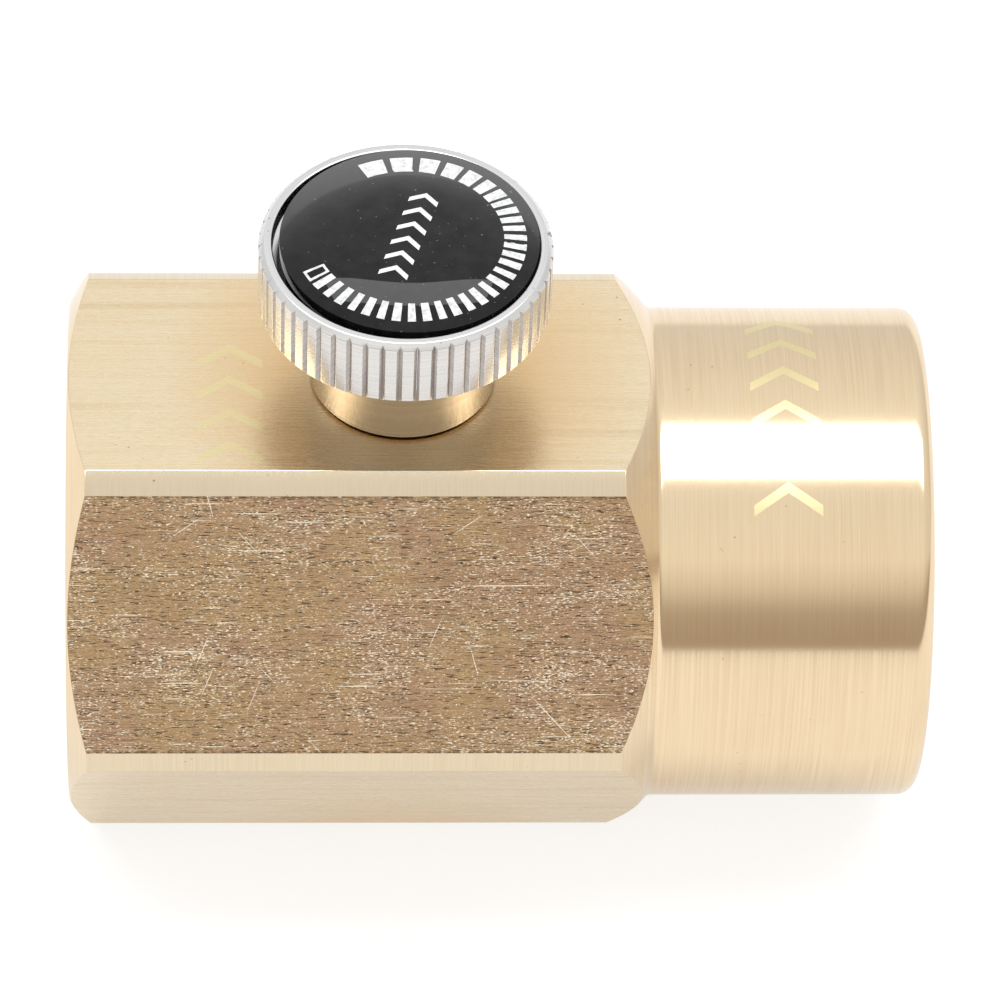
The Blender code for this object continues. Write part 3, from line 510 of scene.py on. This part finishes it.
def turnedMetal(name, centre, turn, base, second, roughness, bump, grime, etched=False):
    material, nodes, links, shader = newMaterial(name)
    tree = material.node_tree
    vector = objectVector(tree, centre, turn)
    lines = placeGroup(tree, turnedLines, vector)
    spots = placeGroup(tree, specks, vector, Amount=grime)
    streak = rampNode(tree, lines.outputs["Lines"], 0.35, 0.65)
    colour = mixColours(tree, streak, base, second)
    cloud = rampNode(tree, noiseNode(tree, vector, 150, 2, 0.5), 0.4, 0.65, 0.0, 0.5)
    colour = mixColours(tree, cloud, colour, second)
    colour = mixColours(tree, spots.outputs["Mask"], colour, brassLook["grime"])
    rough = rampNode(tree, lines.outputs["Lines"], 0.3, 0.7, roughness + 0.03, roughness - 0.03)
    if etched:
        split = ringDistance(tree, objectVector(tree, onBodyAxis))[1]
        angle = mathNode(tree, "ARCTAN2", split.outputs["Y"], split.outputs["Z"])
        around = mathNode(tree, "MULTIPLY", angle, collarMarks["radius"])
        row = tree.nodes.new("ShaderNodeCombineXYZ")
        links.new(mathNode(tree, "SUBTRACT", around, collarMarks["shift"]), row.inputs["X"])
        links.new(mathNode(tree, "SUBTRACT", split.outputs["X"], collarMarks["centre"]), row.inputs["Y"])
        mark = placeGroup(tree, chevronRow, row.outputs[0], Pitch=2.7 * mm, Stroke=0.24, HalfWidth=2.0 * mm,
                          HalfLength=8.1 * mm)
        shown = mathNode(tree, "MULTIPLY", mark.outputs["Mask"], 0.62)
        colour = mixColours(tree, shown, colour, brassLook["etched"])
        rough = mathNode(tree, "ADD", rough, mathNode(tree, "MULTIPLY", shown, 0.35))
    links.new(colour, shader.inputs["Base Color"])
    shader.inputs["Metallic"].default_value = 1.0
    links.new(rough, shader.inputs["Roughness"])
    bumpInto(tree, shader, lines.outputs["Lines"], bump)
    return material


def mouldedPlastic(name, base, second, rough):
    material, nodes, links, shader = newMaterial(name)
    tree = material.node_tree
    vector = objectVector(tree)
    mottle = noiseNode(tree, vector, 260, 4, 0.6)
    colour = mixColours(tree, rampNode(tree, mottle, 0.35, 0.7), base, second)
    links.new(colour, shader.inputs["Base Color"])
    fine = noiseNode(tree, vector, 2600, 2, 0.6)
    links.new(rampNode(tree, fine, 0.3, 0.7, rough - 0.05, rough + 0.08), shader.inputs["Roughness"])
    bumpInto(tree, shader, fine, 0.01 * mm, 0.6)
    return material


alongX = (0, math.radians(90), 0)
upright = (0, 0, 0)
onBodyAxis = (0, 0, axisHeight)
onKnobAxis = (knobX, 0, 0)
steel = ((0.56, 0.56, 0.56), (0.7, 0.7, 0.7), 0.26, 0.006 * mm, 0.2)
milled = brassMilled()
brushed = brassBrushed()
turned = turnedMetal(
    "brassTurned", onBodyAxis, alongX, (0.82, 0.63, 0.415), (0.9, 0.725, 0.485), 0.135, 0.0016 * mm, 0.5,
    etched=True)
# the turned corner strips get a darker, greyer copy of the turned brass: the darkening is painted shade
band = turnedMetal(
    "brassCornerPaintedShade", onBodyAxis, alongX, (0.74, 0.61, 0.43), (0.8, 0.675, 0.485), 0.12, 0.003 * mm, 0.7)
bored = turnedMetal(
    "brassBored", onBodyAxis, alongX, (0.72, 0.52, 0.29), (0.88, 0.7, 0.44), 0.24, 0.008 * mm, 0.8)
bushBrass = turnedMetal(
    "brassBush", onKnobAxis, upright, (0.8, 0.6, 0.36), (0.9, 0.74, 0.5), 0.25, 0.008 * mm, 0.5)
nickelRim = turnedMetal(
    "nickelRim", onKnobAxis, upright, (0.74, 0.745, 0.745), (0.86, 0.865, 0.865), 0.17, 0.002 * mm, 0.5)
nickelLand = turnedMetal(
    "nickelLand", onKnobAxis, upright, (0.71, 0.69, 0.67), (0.81, 0.79, 0.77), 0.27, 0.003 * mm, 0.9)
# the flute grooves get a dark nickel: partly dirt, partly painted shade for the dark the grooves reflect
nickelGrooveDirtAndShade = turnedMetal(
    "nickelGrooveDirtAndShade", onKnobAxis, upright, (0.36, 0.33, 0.31), (0.56, 0.52, 0.49), 0.3, 0.003 * mm, 1.0)
# the hub under the knob's skirt gets a dark nickel: painted shade, which also darkens the hub's reflection in
# the flat
nickelHubPaintedShade = turnedMetal(
    "nickelHubPaintedShade", onKnobAxis, upright, (0.36, 0.37, 0.385), (0.49, 0.495, 0.51), 0.18, 0.002 * mm, 0.4)
steelX = turnedMetal("steelAlongBody", onBodyAxis, alongX, *steel)
steelZ = turnedMetal("steelAlongStem", onKnobAxis, upright, *steel)
nylonWhite = mouldedPlastic("nylonWhite", (0.8, 0.79, 0.74), (0.87, 0.86, 0.82), 0.42)
rubberBlack = mouldedPlastic("rubberBlack", (0.022, 0.022, 0.022), (0.04, 0.04, 0.04), 0.6)
print("materials built")


def sinteredBronze():
    material, nodes, links, shader = newMaterial("sinteredBronze")
    tree = material.node_tree
    vector = objectVector(tree)
    grains = tree.nodes.new("ShaderNodeTexVoronoi")
    grains.inputs["Scale"].default_value = 4200
    links.new(vector, grains.inputs["Vector"])
    shade = rampNode(tree, grains.outputs["Distance"], 0.0, 0.6)
    links.new(mixColours(tree, shade, (0.66, 0.44, 0.25), (0.2, 0.12, 0.07)), shader.inputs["Base Color"])
    shader.inputs["Metallic"].default_value = 1.0
    shader.inputs["Roughness"].default_value = 0.5
    bumpInto(tree, shader, mathNode(tree, "MULTIPLY", grains.outputs["Distance"], -1), 0.08 * mm)
    return material


body = {
    "acrossFlats": 30 * mm, "cornerTurnedOff": 0.42 * mm, "endInset": 0.1 * mm, "endAngle": 60,
    "hexLength": 32.2 * mm, "shoulderAngle": 47.6, "fillet": 0.5 * mm, "collarRadius": 14.55 * mm,
    "edgeRadius": 1.05 * mm, "edgeSoftness": 0.03 * mm, "segments": 240, "finishRadius": 14.8 * mm,
    "finishPast": 2.3 * mm, "insideRadius": 10.6 * mm, "endStep": 0.12 * mm,
}
left, right = bodyLow.x, bodyHigh.x
barCorner = body["acrossFlats"] / 2 / math.cos(math.radians(30))
corner = barCorner - body["cornerTurnedOff"]
endRadius = body["acrossFlats"] / 2 - body["endInset"]


def shoulderFillet():
    # the small hollow where the shoulder's cone meets the collar
    slope = math.radians(body["shoulderAngle"])
    fall = corner - body["collarRadius"]
    root = left + body["hexLength"] + fall / math.tan(slope)
    size = body["fillet"]
    reach = size * math.tan(slope / 2)
    centre = root + reach
    points = []
    for i in range(10):
        angle = slope * (1 - i / 9)
        points.append((body["collarRadius"] + size * (1 - math.cos(angle)), centre - size * math.sin(angle)))
    return points


def bodyOutline():
    collar, edge = body["collarRadius"], body["edgeRadius"]
    chamfer = (corner - endRadius) / math.tan(math.radians(body["endAngle"]))
    small = body["endStep"]
    return [
        (endRadius - small, left), (endRadius, left + small * 0.4), (corner, left + chamfer),
        (corner, left + body["hexLength"]), *shoulderFillet(),
        *cornerArc(collar - edge, right - edge, edge, 0, 88, 16),
    ]


def makeBody():
    bpy.ops.mesh.primitive_cylinder_add(
        vertices=6, radius=barCorner, depth=right - left, location=(0, 0, axisHeight), rotation=alongX)
    piece = bpy.context.object
    piece.name = "bodyShell"
    settle(piece)
    envelope = turnSolid("envelope", bodyOutline(), body["segments"])
    layAlongX(envelope)
    combine(piece, envelope, "INTERSECT")
    softenEdges(piece, body["edgeSoftness"], 14)
    return piece


sockets = {
    "cylinderMajor": 21.4 * mm, "cylinderMinor": 17.1 * mm, "cylinderPitch": 4 * mm,
    "cylinderDepth": 9.2 * mm, "cylinderMouth": 22 * mm, "tankMajor": 20.96 * mm,
    "tankMinor": 19.5 * mm, "tankPitch": 25.4 / 14 * mm, "tankDepth": 11.5 * mm,
    "tankMouth": 21.8 * mm, "relief": 1.4 * mm, "room": 0.15 * mm, "past": 0.5 * mm,
    "passage": 1.6 * mm, "boss": 4.7 * mm, "pinBore": 2.4 * mm, "stemBore": 4.15 * mm,
    "stemBoreBelow": 3.5 * mm, "underBush": 1.3 * mm, "lead": 2 * mm,
}
washerLow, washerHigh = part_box("cylinder_seal_washer")
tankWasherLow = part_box("tank_seal_washer")[0]
filterLow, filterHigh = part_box("inlet_filter")
guideLow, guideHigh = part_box("pin_guide_plug")
pinLow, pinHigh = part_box("push_pin")
bushLow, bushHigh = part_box("bonnet_bush")
seatGap = 0.3 * mm


def cutTankSocket(piece):
    s = sockets
    mouth, minor = s["tankMouth"] / 2, s["tankMinor"] / 2
    relief = s["tankMajor"] / 2 + s["room"]
    threadEnd = right - s["tankDepth"]
    seat = tankWasherLow.x - seatGap
    filterSeat = filterLow.x - seatGap
    filterBore = (filterHigh.y - filterLow.y) / 2 + s["room"]
    cutter = turnSolid("tankSocket", [
        (s["passage"], knobX), (s["passage"], filterSeat), (filterBore, filterSeat), (filterBore, seat),
        (minor, seat), (minor, threadEnd - s["relief"]), (relief, threadEnd - s["relief"]),
        (relief, threadEnd), (minor, threadEnd), (minor, right - (mouth - minor)),
        (mouth + s["past"], right + s["past"]),
    ])
    layAlongX(cutter)
    combine(piece, cutter)


def cutCylinderSocket(piece):
    s = sockets
    mouth, minor = s["cylinderMouth"] / 2, s["cylinderMinor"] / 2
    relief = s["cylinderMajor"] / 2 + s["room"]
    threadEnd = left + s["cylinderDepth"]
    seat = washerHigh.x + seatGap
    pocket = (washerHigh.y - washerLow.y) / 2 + seatGap
    cutter = turnSolid("cylinderSocket", [
        (mouth + s["past"], left - s["past"]), (minor, left + mouth - minor), (minor, threadEnd),
        (relief, threadEnd), (relief, threadEnd + s["relief"]), (pocket, threadEnd + s["relief"]),
        (pocket, seat),
    ])
    layAlongX(cutter)
    boss = turnSolid("boss", [
        (s["boss"], guideLow.x - seatGap), (s["boss"], seat + s["lead"]),
    ])
    layAlongX(boss)
    combine(cutter, boss)
    combine(piece, cutter)
    guideBore = (guideHigh.y - guideLow.y) / 2 + s["room"]
    bore = turnSolid("pinBore", [
        (guideBore, guideLow.x - s["lead"]), (guideBore, guideHigh.x + seatGap),
        (s["pinBore"], guideHigh.x + seatGap), (s["pinBore"], knobX + s["past"]),
    ], 96)
    layAlongX(bore)
    combine(piece, bore)


def cutThread(piece, major, minor, pitch, crestShare, slope, start, turns):
    # one trapezoid carried round a helix by a Screw modifier
    core = minor / 2 - sockets["room"]
    crest = crestShare * pitch
    base = min(crest + 2 * (major / 2 - core) * math.tan(math.radians(slope)), 0.94 * pitch)
    bpy.ops.mesh.primitive_plane_add(size=1, location=(0, 0, 0))
    cutter = bpy.context.object
    cutter.scale = (major / 2 - core, base, 1)
    settle(cutter)
    startEdit(cutter)
    bpy.ops.mesh.select_all(action="DESELECT")
    stopEdit()
    for vertex in cutter.data.vertices:
        vertex.select = vertex.co.x > 0
    startEdit(cutter)
    bpy.ops.transform.resize(value=(1, crest / base, 1), center_override=((major / 2 - core) / 2, 0, 0))
    bpy.ops.mesh.select_all(action="SELECT")
    bpy.ops.mesh.delete(type="ONLY_FACE")
    stopEdit()
    cutter.rotation_euler = (math.radians(90), 0, 0)
    cutter.location = ((major / 2 + core) / 2, 0, 0)
    settle(cutter)
    screw = cutter.modifiers.new("helix", "SCREW")
    screw.axis = "Z"
    screw.screw_offset = pitch
    screw.iterations = math.ceil(turns)
    screw.steps = screw.render_steps = 72
    screw.use_merge_vertices = True
    screw.merge_threshold = 0.000001
    applyAll(cutter)
    startEdit(cutter, "EDGE")
    bpy.ops.mesh.select_all(action="SELECT")
    bpy.ops.mesh.fill_holes(sides=4)
    bpy.ops.mesh.select_all(action="SELECT")
    bpy.ops.mesh.normals_make_consistent(inside=False)
    stopEdit()
    cutter.rotation_euler = (0, 0, math.radians(5))
    settle(cutter)
    cutter.rotation_euler = (0, math.radians(90), 0)
    cutter.location = (start, 0, axisHeight)
    settle(cutter)
    combine(piece, cutter)


def cutStemBore(piece):
    s = sockets
    bushBore = (bushHigh.y - bushLow.y) / 2 + s["room"]
    step = bushLow.z - s["underBush"]
    cutter = turnSolid("stemBore", [
        (bushBore, bodyHigh.z + s["past"]), (bushBore, step), (s["stemBore"], step),
        (s["stemBore"], axisHeight - s["stemBoreBelow"]),
    ], 96)
    standOnKnobAxis(cutter)
    combine(piece, cutter)


def dressBody(piece):
    # flats get straight tool lines, all else is turned, and the inside is its own darker finish
    for material in (turned, milled, brushed, bored, band):
        piece.data.materials.append(material)
    turns = [math.radians(60 * i) for i in range(6)]
    normals = [Vector((0, math.sin(turn), math.cos(turn))) for turn in turns]
    for face in piece.data.polygons:
        face.material_index = 0
        out = Vector((0, face.center.y, face.center.z - axisHeight))
        radial = out.length
        if radial > body["finishRadius"] and face.center.x < left + body["hexLength"] + body["finishPast"]:
            for i, normal in enumerate(normals):
                if face.normal.dot(normal) > 0.9999:
                    face.material_index = 2 if i in (2, 5) else 1
            if face.material_index == 0 and abs(face.normal.x) < 0.05:
                face.material_index = 4
        elif face.normal.dot(out) < -0.2 * radial or radial < body["insideRadius"]:
            face.material_index = 3


bodyShell = makeBody()
cutStemBore(bodyShell)
cutCylinderSocket(bodyShell)
cutTankSocket(bodyShell)
print("body turned and bored")
s = sockets
cutThread(
    bodyShell, s["cylinderMajor"], s["cylinderMinor"], s["cylinderPitch"], 0.37, 15, left - s["lead"],
    (s["cylinderDepth"] + s["relief"] / 2 + s["lead"]) / s["cylinderPitch"])
cutThread(
    bodyShell, s["tankMajor"], s["tankMinor"], s["tankPitch"], 0.12, 30,
    right - s["tankDepth"] - s["relief"] / 2,
    (s["tankDepth"] + s["relief"] / 2 + s["tankPitch"]) / s["tankPitch"])
smooth(bodyShell, 7)
dressBody(bodyShell)
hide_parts("valve_body")
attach(bodyShell, "body")
print("body threaded:", len(bodyShell.data.polygons), "faces")


knob = {
    "radius": 8.45 * mm, "hubRadius": 5.4 * mm, "recessRadius": 7.65 * mm, "recessDepth": 0.9 * mm,
    "topEdge": 0.34 * mm, "lowEdge": 0.3 * mm, "hubEdge": 0.14 * mm, "flutes": 54, "fluteDepth": 0.17 * mm,
    "skirt": 4.62 * mm, "well": 3.3 * mm, "wellDepth": 2.0 * mm, "room": 3.3 * mm, "screwHole": 2.6 * mm,
    "roomHeight": 2.6 * mm, "lip": 0.08 * mm, "aboveBody": 0.11 * mm,
}


def makeKnob():
    k = knob
    top, bottom = knobHigh.z, bodyHigh.z + k["aboveBody"]
    skirt = top - k["skirt"]
    floor = top - k["recessDepth"]
    well = floor - k["wellDepth"]
    lip = k["lip"]
    return turnRing("knobShell", [
        (k["screwHole"], well), (k["well"], well), (k["well"], floor), (k["recessRadius"], floor),
        (k["recessRadius"], top - lip), (k["recessRadius"] + lip, top),
        (k["radius"] - k["topEdge"], top), (k["radius"] - k["topEdge"] * 0.9, top - 0.03 * mm),
        (k["radius"], top - k["topEdge"]), (k["radius"], skirt + k["lowEdge"]),
        (k["radius"] - k["lowEdge"], skirt), (k["hubRadius"] + 0.25 * mm, skirt),
        (k["hubRadius"] + 0.07 * mm, skirt - 0.07 * mm), (k["hubRadius"], skirt - 0.25 * mm),
        (k["hubRadius"], bottom + k["hubEdge"]), (k["hubRadius"] - k["hubEdge"], bottom),
        (k["room"], bottom), (k["room"], bottom + k["roomHeight"]),
        (k["screwHole"], bottom + k["roomHeight"]),
    ], k["flutes"] * 4)


def makeFlutes():
    # one V-shaped bar, copied round the knob and joined into a single cutter
    bar = 0.4 * mm
    reach = knob["radius"] - knob["fluteDepth"] + bar
    height = knobHigh.z - knob["skirt"] / 2
    bpy.ops.mesh.primitive_cylinder_add(
        vertices=4, radius=bar, depth=knob["skirt"] * 2, location=(reach, 0, height))
    first = bpy.context.object
    settle(first)
    bars = [first]
    for i in range(1, knob["flutes"]):
        copy = first.copy()
        copy.data = first.data.copy()
        bpy.context.scene.collection.objects.link(copy)
        copy.rotation_euler.z = math.tau * i / knob["flutes"]
        settle(copy)
        bars.append(copy)
    bpy.ops.object.select_all(action="DESELECT")
    for piece in bars:
        piece.select_set(True)
    bpy.context.view_layer.objects.active = first
    bpy.ops.object.join()
    return first


knobShell = makeKnob()
combine(knobShell, makeFlutes())
softenEdges(knobShell, 0.035 * mm, 28)
standOnKnobAxis(knobShell)
smooth(knobShell, 24)
for material in (nickelLand, nickelRim, nickelGrooveDirtAndShade, nickelHubPaintedShade):
    knobShell.data.materials.append(material)
for face in knobShell.data.polygons:
    out = Vector((face.center.x - knobX, face.center.y, 0))
    straight = face.normal.dot(out.normalized())
    if face.center.z < knobHigh.z - knob["skirt"] + 0.02 * mm:
        face.material_index = 3
    elif face.normal.z > 0.3 or straight < 0:
        face.material_index = 1
    elif straight < 0.96 and abs(face.normal.z) < 0.2:
        face.material_index = 2
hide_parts("knob")
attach(knobShell, "knob_and_stem")
print("knob knurled:", len(knobShell.data.polygons), "faces")


label = {
    "radius": 7.44 * mm, "segments": 720, "edgeHeight": 0.8 * mm, "inner": 0.725, "outer": 0.9,
    "fullness": 3.0, "soft": 0.06 * mm, "hollow": (204.0, 211.6),
    "extraTilt": 0.72, "marks": 31, "firstMark": 215.8,
}
labelCentre = (labelLow.x + labelHigh.x) / 2


def resinLabel():
    # black print under clear resin, the chevrons printed in white, and the resin's meniscus as a smooth bump
    material, nodes, links, shader = newMaterial("resinLabel")
    tree = material.node_tree
    vector = objectVector(tree, (labelCentre, 0, 0))
    split = tree.nodes.new("ShaderNodeSeparateXYZ")
    links.new(vector, split.inputs[0])
    squares = [mathNode(tree, "MULTIPLY", split.outputs[axis], split.outputs[axis]) for axis in ("X", "Y")]
    share = mathNode(tree, "DIVIDE", mathNode(tree, "SQRT", mathNode(tree, "ADD", *squares)), label["radius"])
    row = tree.nodes.new("ShaderNodeMapping")
    row.vector_type = "TEXTURE"
    row.inputs["Location"].default_value = (0.2 * mm, 0.75 * mm, 0)
    row.inputs["Rotation"].default_value = (0, 0, math.radians(73))
    links.new(vector, row.inputs["Vector"])
    mark = placeGroup(tree, chevronRow, row.outputs[0], Pitch=1.24 * mm, Stroke=0.3, HalfWidth=0.85 * mm,
                      HalfLength=3.72 * mm)
    mottle = rampNode(tree, noiseNode(tree, vector, 900, 3, 0.6), 0.35, 0.7)
    black = mixColours(tree, mottle, (0.004, 0.004, 0.005), (0.012, 0.012, 0.013))
    dust = rampNode(tree, noiseNode(tree, vector, 5200, 1, 0.4), 0.74, 0.8, 0.0, 0.25)
    black = mixColours(tree, dust, black, (0.6, 0.6, 0.6))
    links.new(mixColours(tree, mark.outputs["Mask"], black, (0.72, 0.73, 0.74)), shader.inputs["Base Color"])
    links.new(rampNode(tree, mottle, 0.0, 1.0, 0.02, 0.04), shader.inputs["Roughness"])
    shader.inputs["Specular IOR Level"].default_value = 0.34
    cube = mathNode(tree, "POWER", share, 3.0)
    sag = mathNode(tree, "MULTIPLY", cube, -label["extraTilt"] * label["radius"] / 3)
    bumpInto(tree, shader, sag, 1.0)
    return material


def inkPatch():
    material, nodes, links, shader = newMaterial("inkPatch")
    tree = material.node_tree
    vector = objectVector(tree, (labelCentre, 0, 0))
    # patches where the ink is worn
    patchyMask = rampNode(tree, noiseNode(tree, vector, 3200, 3, 0.7), 0.35, 0.62)
    links.new(mixColours(tree, patchyMask, (0.5, 0.51, 0.52), (0.8, 0.81, 0.82)), shader.inputs["Base Color"])
    links.new(rampNode(tree, patchyMask, 0.0, 1.0, 0.1, 0.05), shader.inputs["Roughness"])
    return material


def markList():
    # narrow ticks at a close pitch that widen into broad blocks, each as (start, end, hollow) in degrees
    marks = [(*label["hollow"], True)]
    angle = label["firstMark"]
    for i in range(label["marks"]):
        late = max(0, i - 23)
        half = (4.3 + 1.2 * late) / 2
        marks.append((angle - half, angle + half, False))
        angle += 7.75 if i < 16 else 6.9 if i < 24 else 7.25 + 1.45 * late
    return marks


def makeLabel():
    # a fine polar grid with rings exactly at the marks' ends
    base, radius = labelLow.z, label["radius"]
    edge = base + label["edgeHeight"]
    height = labelHigh.z - edge
    rings = [0.995, 0.985, 0.965, 0.94, 0.92, label["outer"], 0.88, 0.85, 0.81, 0.775, 0.745, label["inner"],
             0.7, 0.65, 0.6, 0.54, 0.48, 0.42, 0.36, 0.3, 0.22, 0.14, 0.06]
    soft = label["soft"]
    profile = [(radius - soft, base), (radius, base + soft), (radius, edge - soft), (radius, edge)]
    profile += [(radius * share, edge + height * (1 - share ** label["fullness"])) for share in rings]
    return turnSolid("labelDome", profile, label["segments"])


def inkMarks(piece):
    marks = markList()
    inner, outer, thin, rim = label["inner"], label["outer"], 0.022, 1.6
    for face in piece.data.polygons:
        share = math.hypot(face.center.x, face.center.y) / label["radius"]
        if not inner < share < outer or face.normal.z < 0.5:
            continue
        angle = math.degrees(math.atan2(face.center.y, face.center.x)) % 360
        for first, last, hollow in marks:
            inside = (angle - first) % 360 < last - first
            core = (angle - first - rim) % 360 < last - first - 2 * rim
            if inside and not (hollow and core and inner + thin < share < outer - thin):
                face.material_index = 1


labelDome = makeLabel()
labelDome.data.materials.append(resinLabel())
labelDome.data.materials.append(inkPatch())
inkMarks(labelDome)
labelDome.location = (labelCentre, 0, 0)
settle(labelDome)
smooth(labelDome, 40)
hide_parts("dial_label")
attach(labelDome, "knob_and_stem")
print("label domed and marked")


def turnedPiece(name, node, body, material, points, hollow=True, segments=128):
    piece = turnRing(name, points, segments) if hollow else turnSolid(name, points, segments)
    layAlongX(piece)
    smooth(piece, 25)
    piece.data.materials.append(material)
    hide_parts(node)
    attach(piece, body)
    return piece


def washerProfile(inner, outer, low, high, soft):
    return [
        (inner, low + soft), (inner + soft, low), (outer - soft, low), (outer, low + soft),
        (outer, high - soft), (outer - soft, high), (inner + soft, high), (inner, high - soft),
    ]


def ringPiece(name, node, body, material, innerRadius, soft):
    low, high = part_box(node)
    outer = (high.z - low.z) / 2
    points = washerProfile(innerRadius, outer, low.x, high.x, soft)
    return turnedPiece(name, node, body, material, points)


ringPiece("cylinderSeal", "cylinder_seal_washer", "body", nylonWhite, 5.0 * mm, 0.12 * mm)
ringPiece("tankSeal", "tank_seal_washer", "body", nylonWhite, 4.0 * mm, 0.15 * mm)
filterRadius = (filterHigh.y - filterLow.y) / 2
filterEdge = 0.2 * mm
turnedPiece("filterDisc", "inlet_filter", "body", sinteredBronze(), [
    (filterRadius - filterEdge, filterLow.x), (filterRadius, filterLow.x + filterEdge),
    (filterRadius, filterHigh.x - filterEdge), (filterRadius - filterEdge, filterHigh.x),
], hollow=False)
pin = {"radius": 1.0 * mm, "tip": 0.4 * mm, "collar": (pinHigh.y - pinLow.y) / 2,
       "collarStart": pinHigh.x - 2.45 * mm, "collarEnd": pinHigh.x - 1.65 * mm}
turnedPiece("pushPin", "push_pin", "pin", steelX, [
    (pin["radius"] - pin["tip"], pinLow.x), (pin["radius"], pinLow.x + pin["tip"]),
    (pin["radius"], pin["collarStart"]), (pin["collar"], pin["collarStart"]),
    (pin["collar"], pin["collarEnd"]), (pin["radius"], pin["collarEnd"]),
    *cornerArc(0, pinHigh.x - pin["radius"], pin["radius"], 0, 80, 8),
], hollow=False, segments=64)

hiddenLooks = {
    "pin_guide_plug": bored, "bonnet_bush": bushBrass, "bonnet_gasket": nylonWhite, "stem": steelZ,
    "stem_o_ring_upper": rubberBlack, "stem_o_ring_lower": rubberBlack, "stem_backup_ring": nylonWhite,
    "knob_washer": steelZ, "knob_screw": steelZ, "cone_plunger": steelZ, "thrust_ball": steelZ,
    "pin_return_spring": steelX, "filter_snap_ring": steelX,
}
for node, material in hiddenLooks.items():
    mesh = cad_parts[node].data
    mesh.materials.clear()
    mesh.materials.append(material)
print("hidden pieces dressed")


stage = {"floorSize": 3.0, "floorGlow": 0.56, "floorSeen": 0.76}


def makeFloor():
    bpy.ops.mesh.primitive_plane_add(size=stage["floorSize"], location=(0, 0, -0.0002))
    floor = bpy.context.object
    floor.name = "floor"
    material, nodes, links, shader = newMaterial("floorPaper")
    shader.inputs["Roughness"].default_value = 0.7
    shader.inputs["Emission Strength"].default_value = 1.0
    tree = material.node_tree
    fibre = noiseNode(tree, objectVector(tree), 900, 3, 0.6)
    links.new(mixColours(tree, fibre, (0.3, 0.3, 0.3), (0.33, 0.33, 0.33)), shader.inputs["Base Color"])
    path = tree.nodes.new("ShaderNodeLightPath")
    seen, glow = ((stage[key],) * 3 for key in ("floorSeen", "floorGlow"))
    links.new(mixColours(tree, path.outputs["Is Camera Ray"], glow, seen), shader.inputs["Emission Color"])
    floor.data.materials.append(material)


def makeWorld():
    # brightness round the bar's own axis: degrees from straight up, positive towards the front
    room = [
        (-180, (0.8, 0.8, 0.8)), (-96, (0.76, 0.76, 0.77)), (-60, (0.84, 0.84, 0.84)),
        (-22, (0.96, 0.96, 0.95)),
        (8, (0.92, 0.92, 0.9)), (13, (0.88, 0.88, 0.88)), (48, (0.94, 0.92, 0.89)), (60, (0.78, 0.74, 0.69)),
        (72, (0.5, 0.44, 0.38)), (90, (0.42, 0.35, 0.29)), (180, (0.8, 0.8, 0.8)),
    ]
    world = bpy.data.worlds.new("studio")
    bpy.context.scene.world = world
    world.use_nodes = True
    tree = world.node_tree
    background = tree.nodes["Background"]
    coordinates = tree.nodes.new("ShaderNodeTexCoord")
    split = tree.nodes.new("ShaderNodeSeparateXYZ")
    tree.links.new(coordinates.outputs["Generated"], split.inputs[0])
    front = mathNode(tree, "MULTIPLY", split.outputs["Y"], -1.0)
    angle = mathNode(tree, "ARCTAN2", front, split.outputs["Z"])
    share = mathNode(tree, "ADD", mathNode(tree, "DIVIDE", angle, math.tau), 0.5)
    ramp = tree.nodes.new("ShaderNodeValToRGB")
    tree.links.new(share, ramp.inputs["Fac"])
    ramp.color_ramp.interpolation = "LINEAR"
    points = ramp.color_ramp.elements
    for i, (degrees, colour) in enumerate(room):
        point = points[0] if i == 0 else points.new(degrees / 360 + 0.5)
        point.position = degrees / 360 + 0.5
        point.color = (*colour, 1)
    path = tree.nodes.new("ShaderNodeLightPath")
    ends = rampNode(tree, mathNode(tree, "ABSOLUTE", split.outputs["X"]), 0.55, 0.95, 0.0, 0.26)
    colour = mixColours(tree, ends, ramp.outputs["Color"], (0.42, 0.38, 0.34))
    seen = mixColours(tree, path.outputs["Is Camera Ray"], colour, (1.0, 1.0, 1.0))
    tree.links.new(seen, background.inputs["Color"])
    background.inputs["Strength"].default_value = 1.0


def addSoftLight(name, place, size, power, aim):
    data = bpy.data.lights.new(name, "AREA")
    data.shape = "RECTANGLE"
    data.size, data.size_y = size
    data.energy = power
    light = bpy.data.objects.new(name, data)
    bpy.context.scene.collection.objects.link(light)
    light.location = place
    light.rotation_euler = (Vector(aim) - Vector(place)).to_track_quat("-Z", "Y").to_euler()


view = {"azimuth": -3.326, "elevation": 46.287, "roll": 2.438, "aimX": 25.644 * mm, "rise": 2.9946 * mm,
        "distance": 428.18 * mm, "focal": 7173.04, "frameSize": 1001}


def makeCamera():
    azimuth, elevation, roll = (math.radians(view[key]) for key in ("azimuth", "elevation", "roll"))
    level = math.cos(elevation)
    back = Vector((math.sin(azimuth) * level, -math.cos(azimuth) * level, math.sin(elevation)))
    side = Vector((math.cos(azimuth), math.sin(azimuth), 0))
    rise = back.cross(side)
    across = side * math.cos(roll) + rise * math.sin(roll)
    upright = -side * math.sin(roll) + rise * math.cos(roll)
    target = Vector((left + view["aimX"], 0, axisHeight)) + upright * view["rise"]
    data = bpy.data.cameras.new("camera")
    data.sensor_width = 36
    data.lens = view["focal"] / view["frameSize"] * 36
    camera = bpy.data.objects.new("camera", data)
    bpy.context.scene.collection.objects.link(camera)
    turn = Matrix((across, upright, back)).transposed().to_4x4()
    camera.matrix_world = Matrix.Translation(target + back * view["distance"]) @ turn
    bpy.context.scene.camera = camera


makeFloor()
makeWorld()
addSoftLight("overhead", (0, 0.036, 0.5), (0.9, 0.228), 2.2, aim=(0, 0.036, 0))
makeCamera()
bpy.context.scene.view_settings.view_transform = "Standard"
print("stage ready")
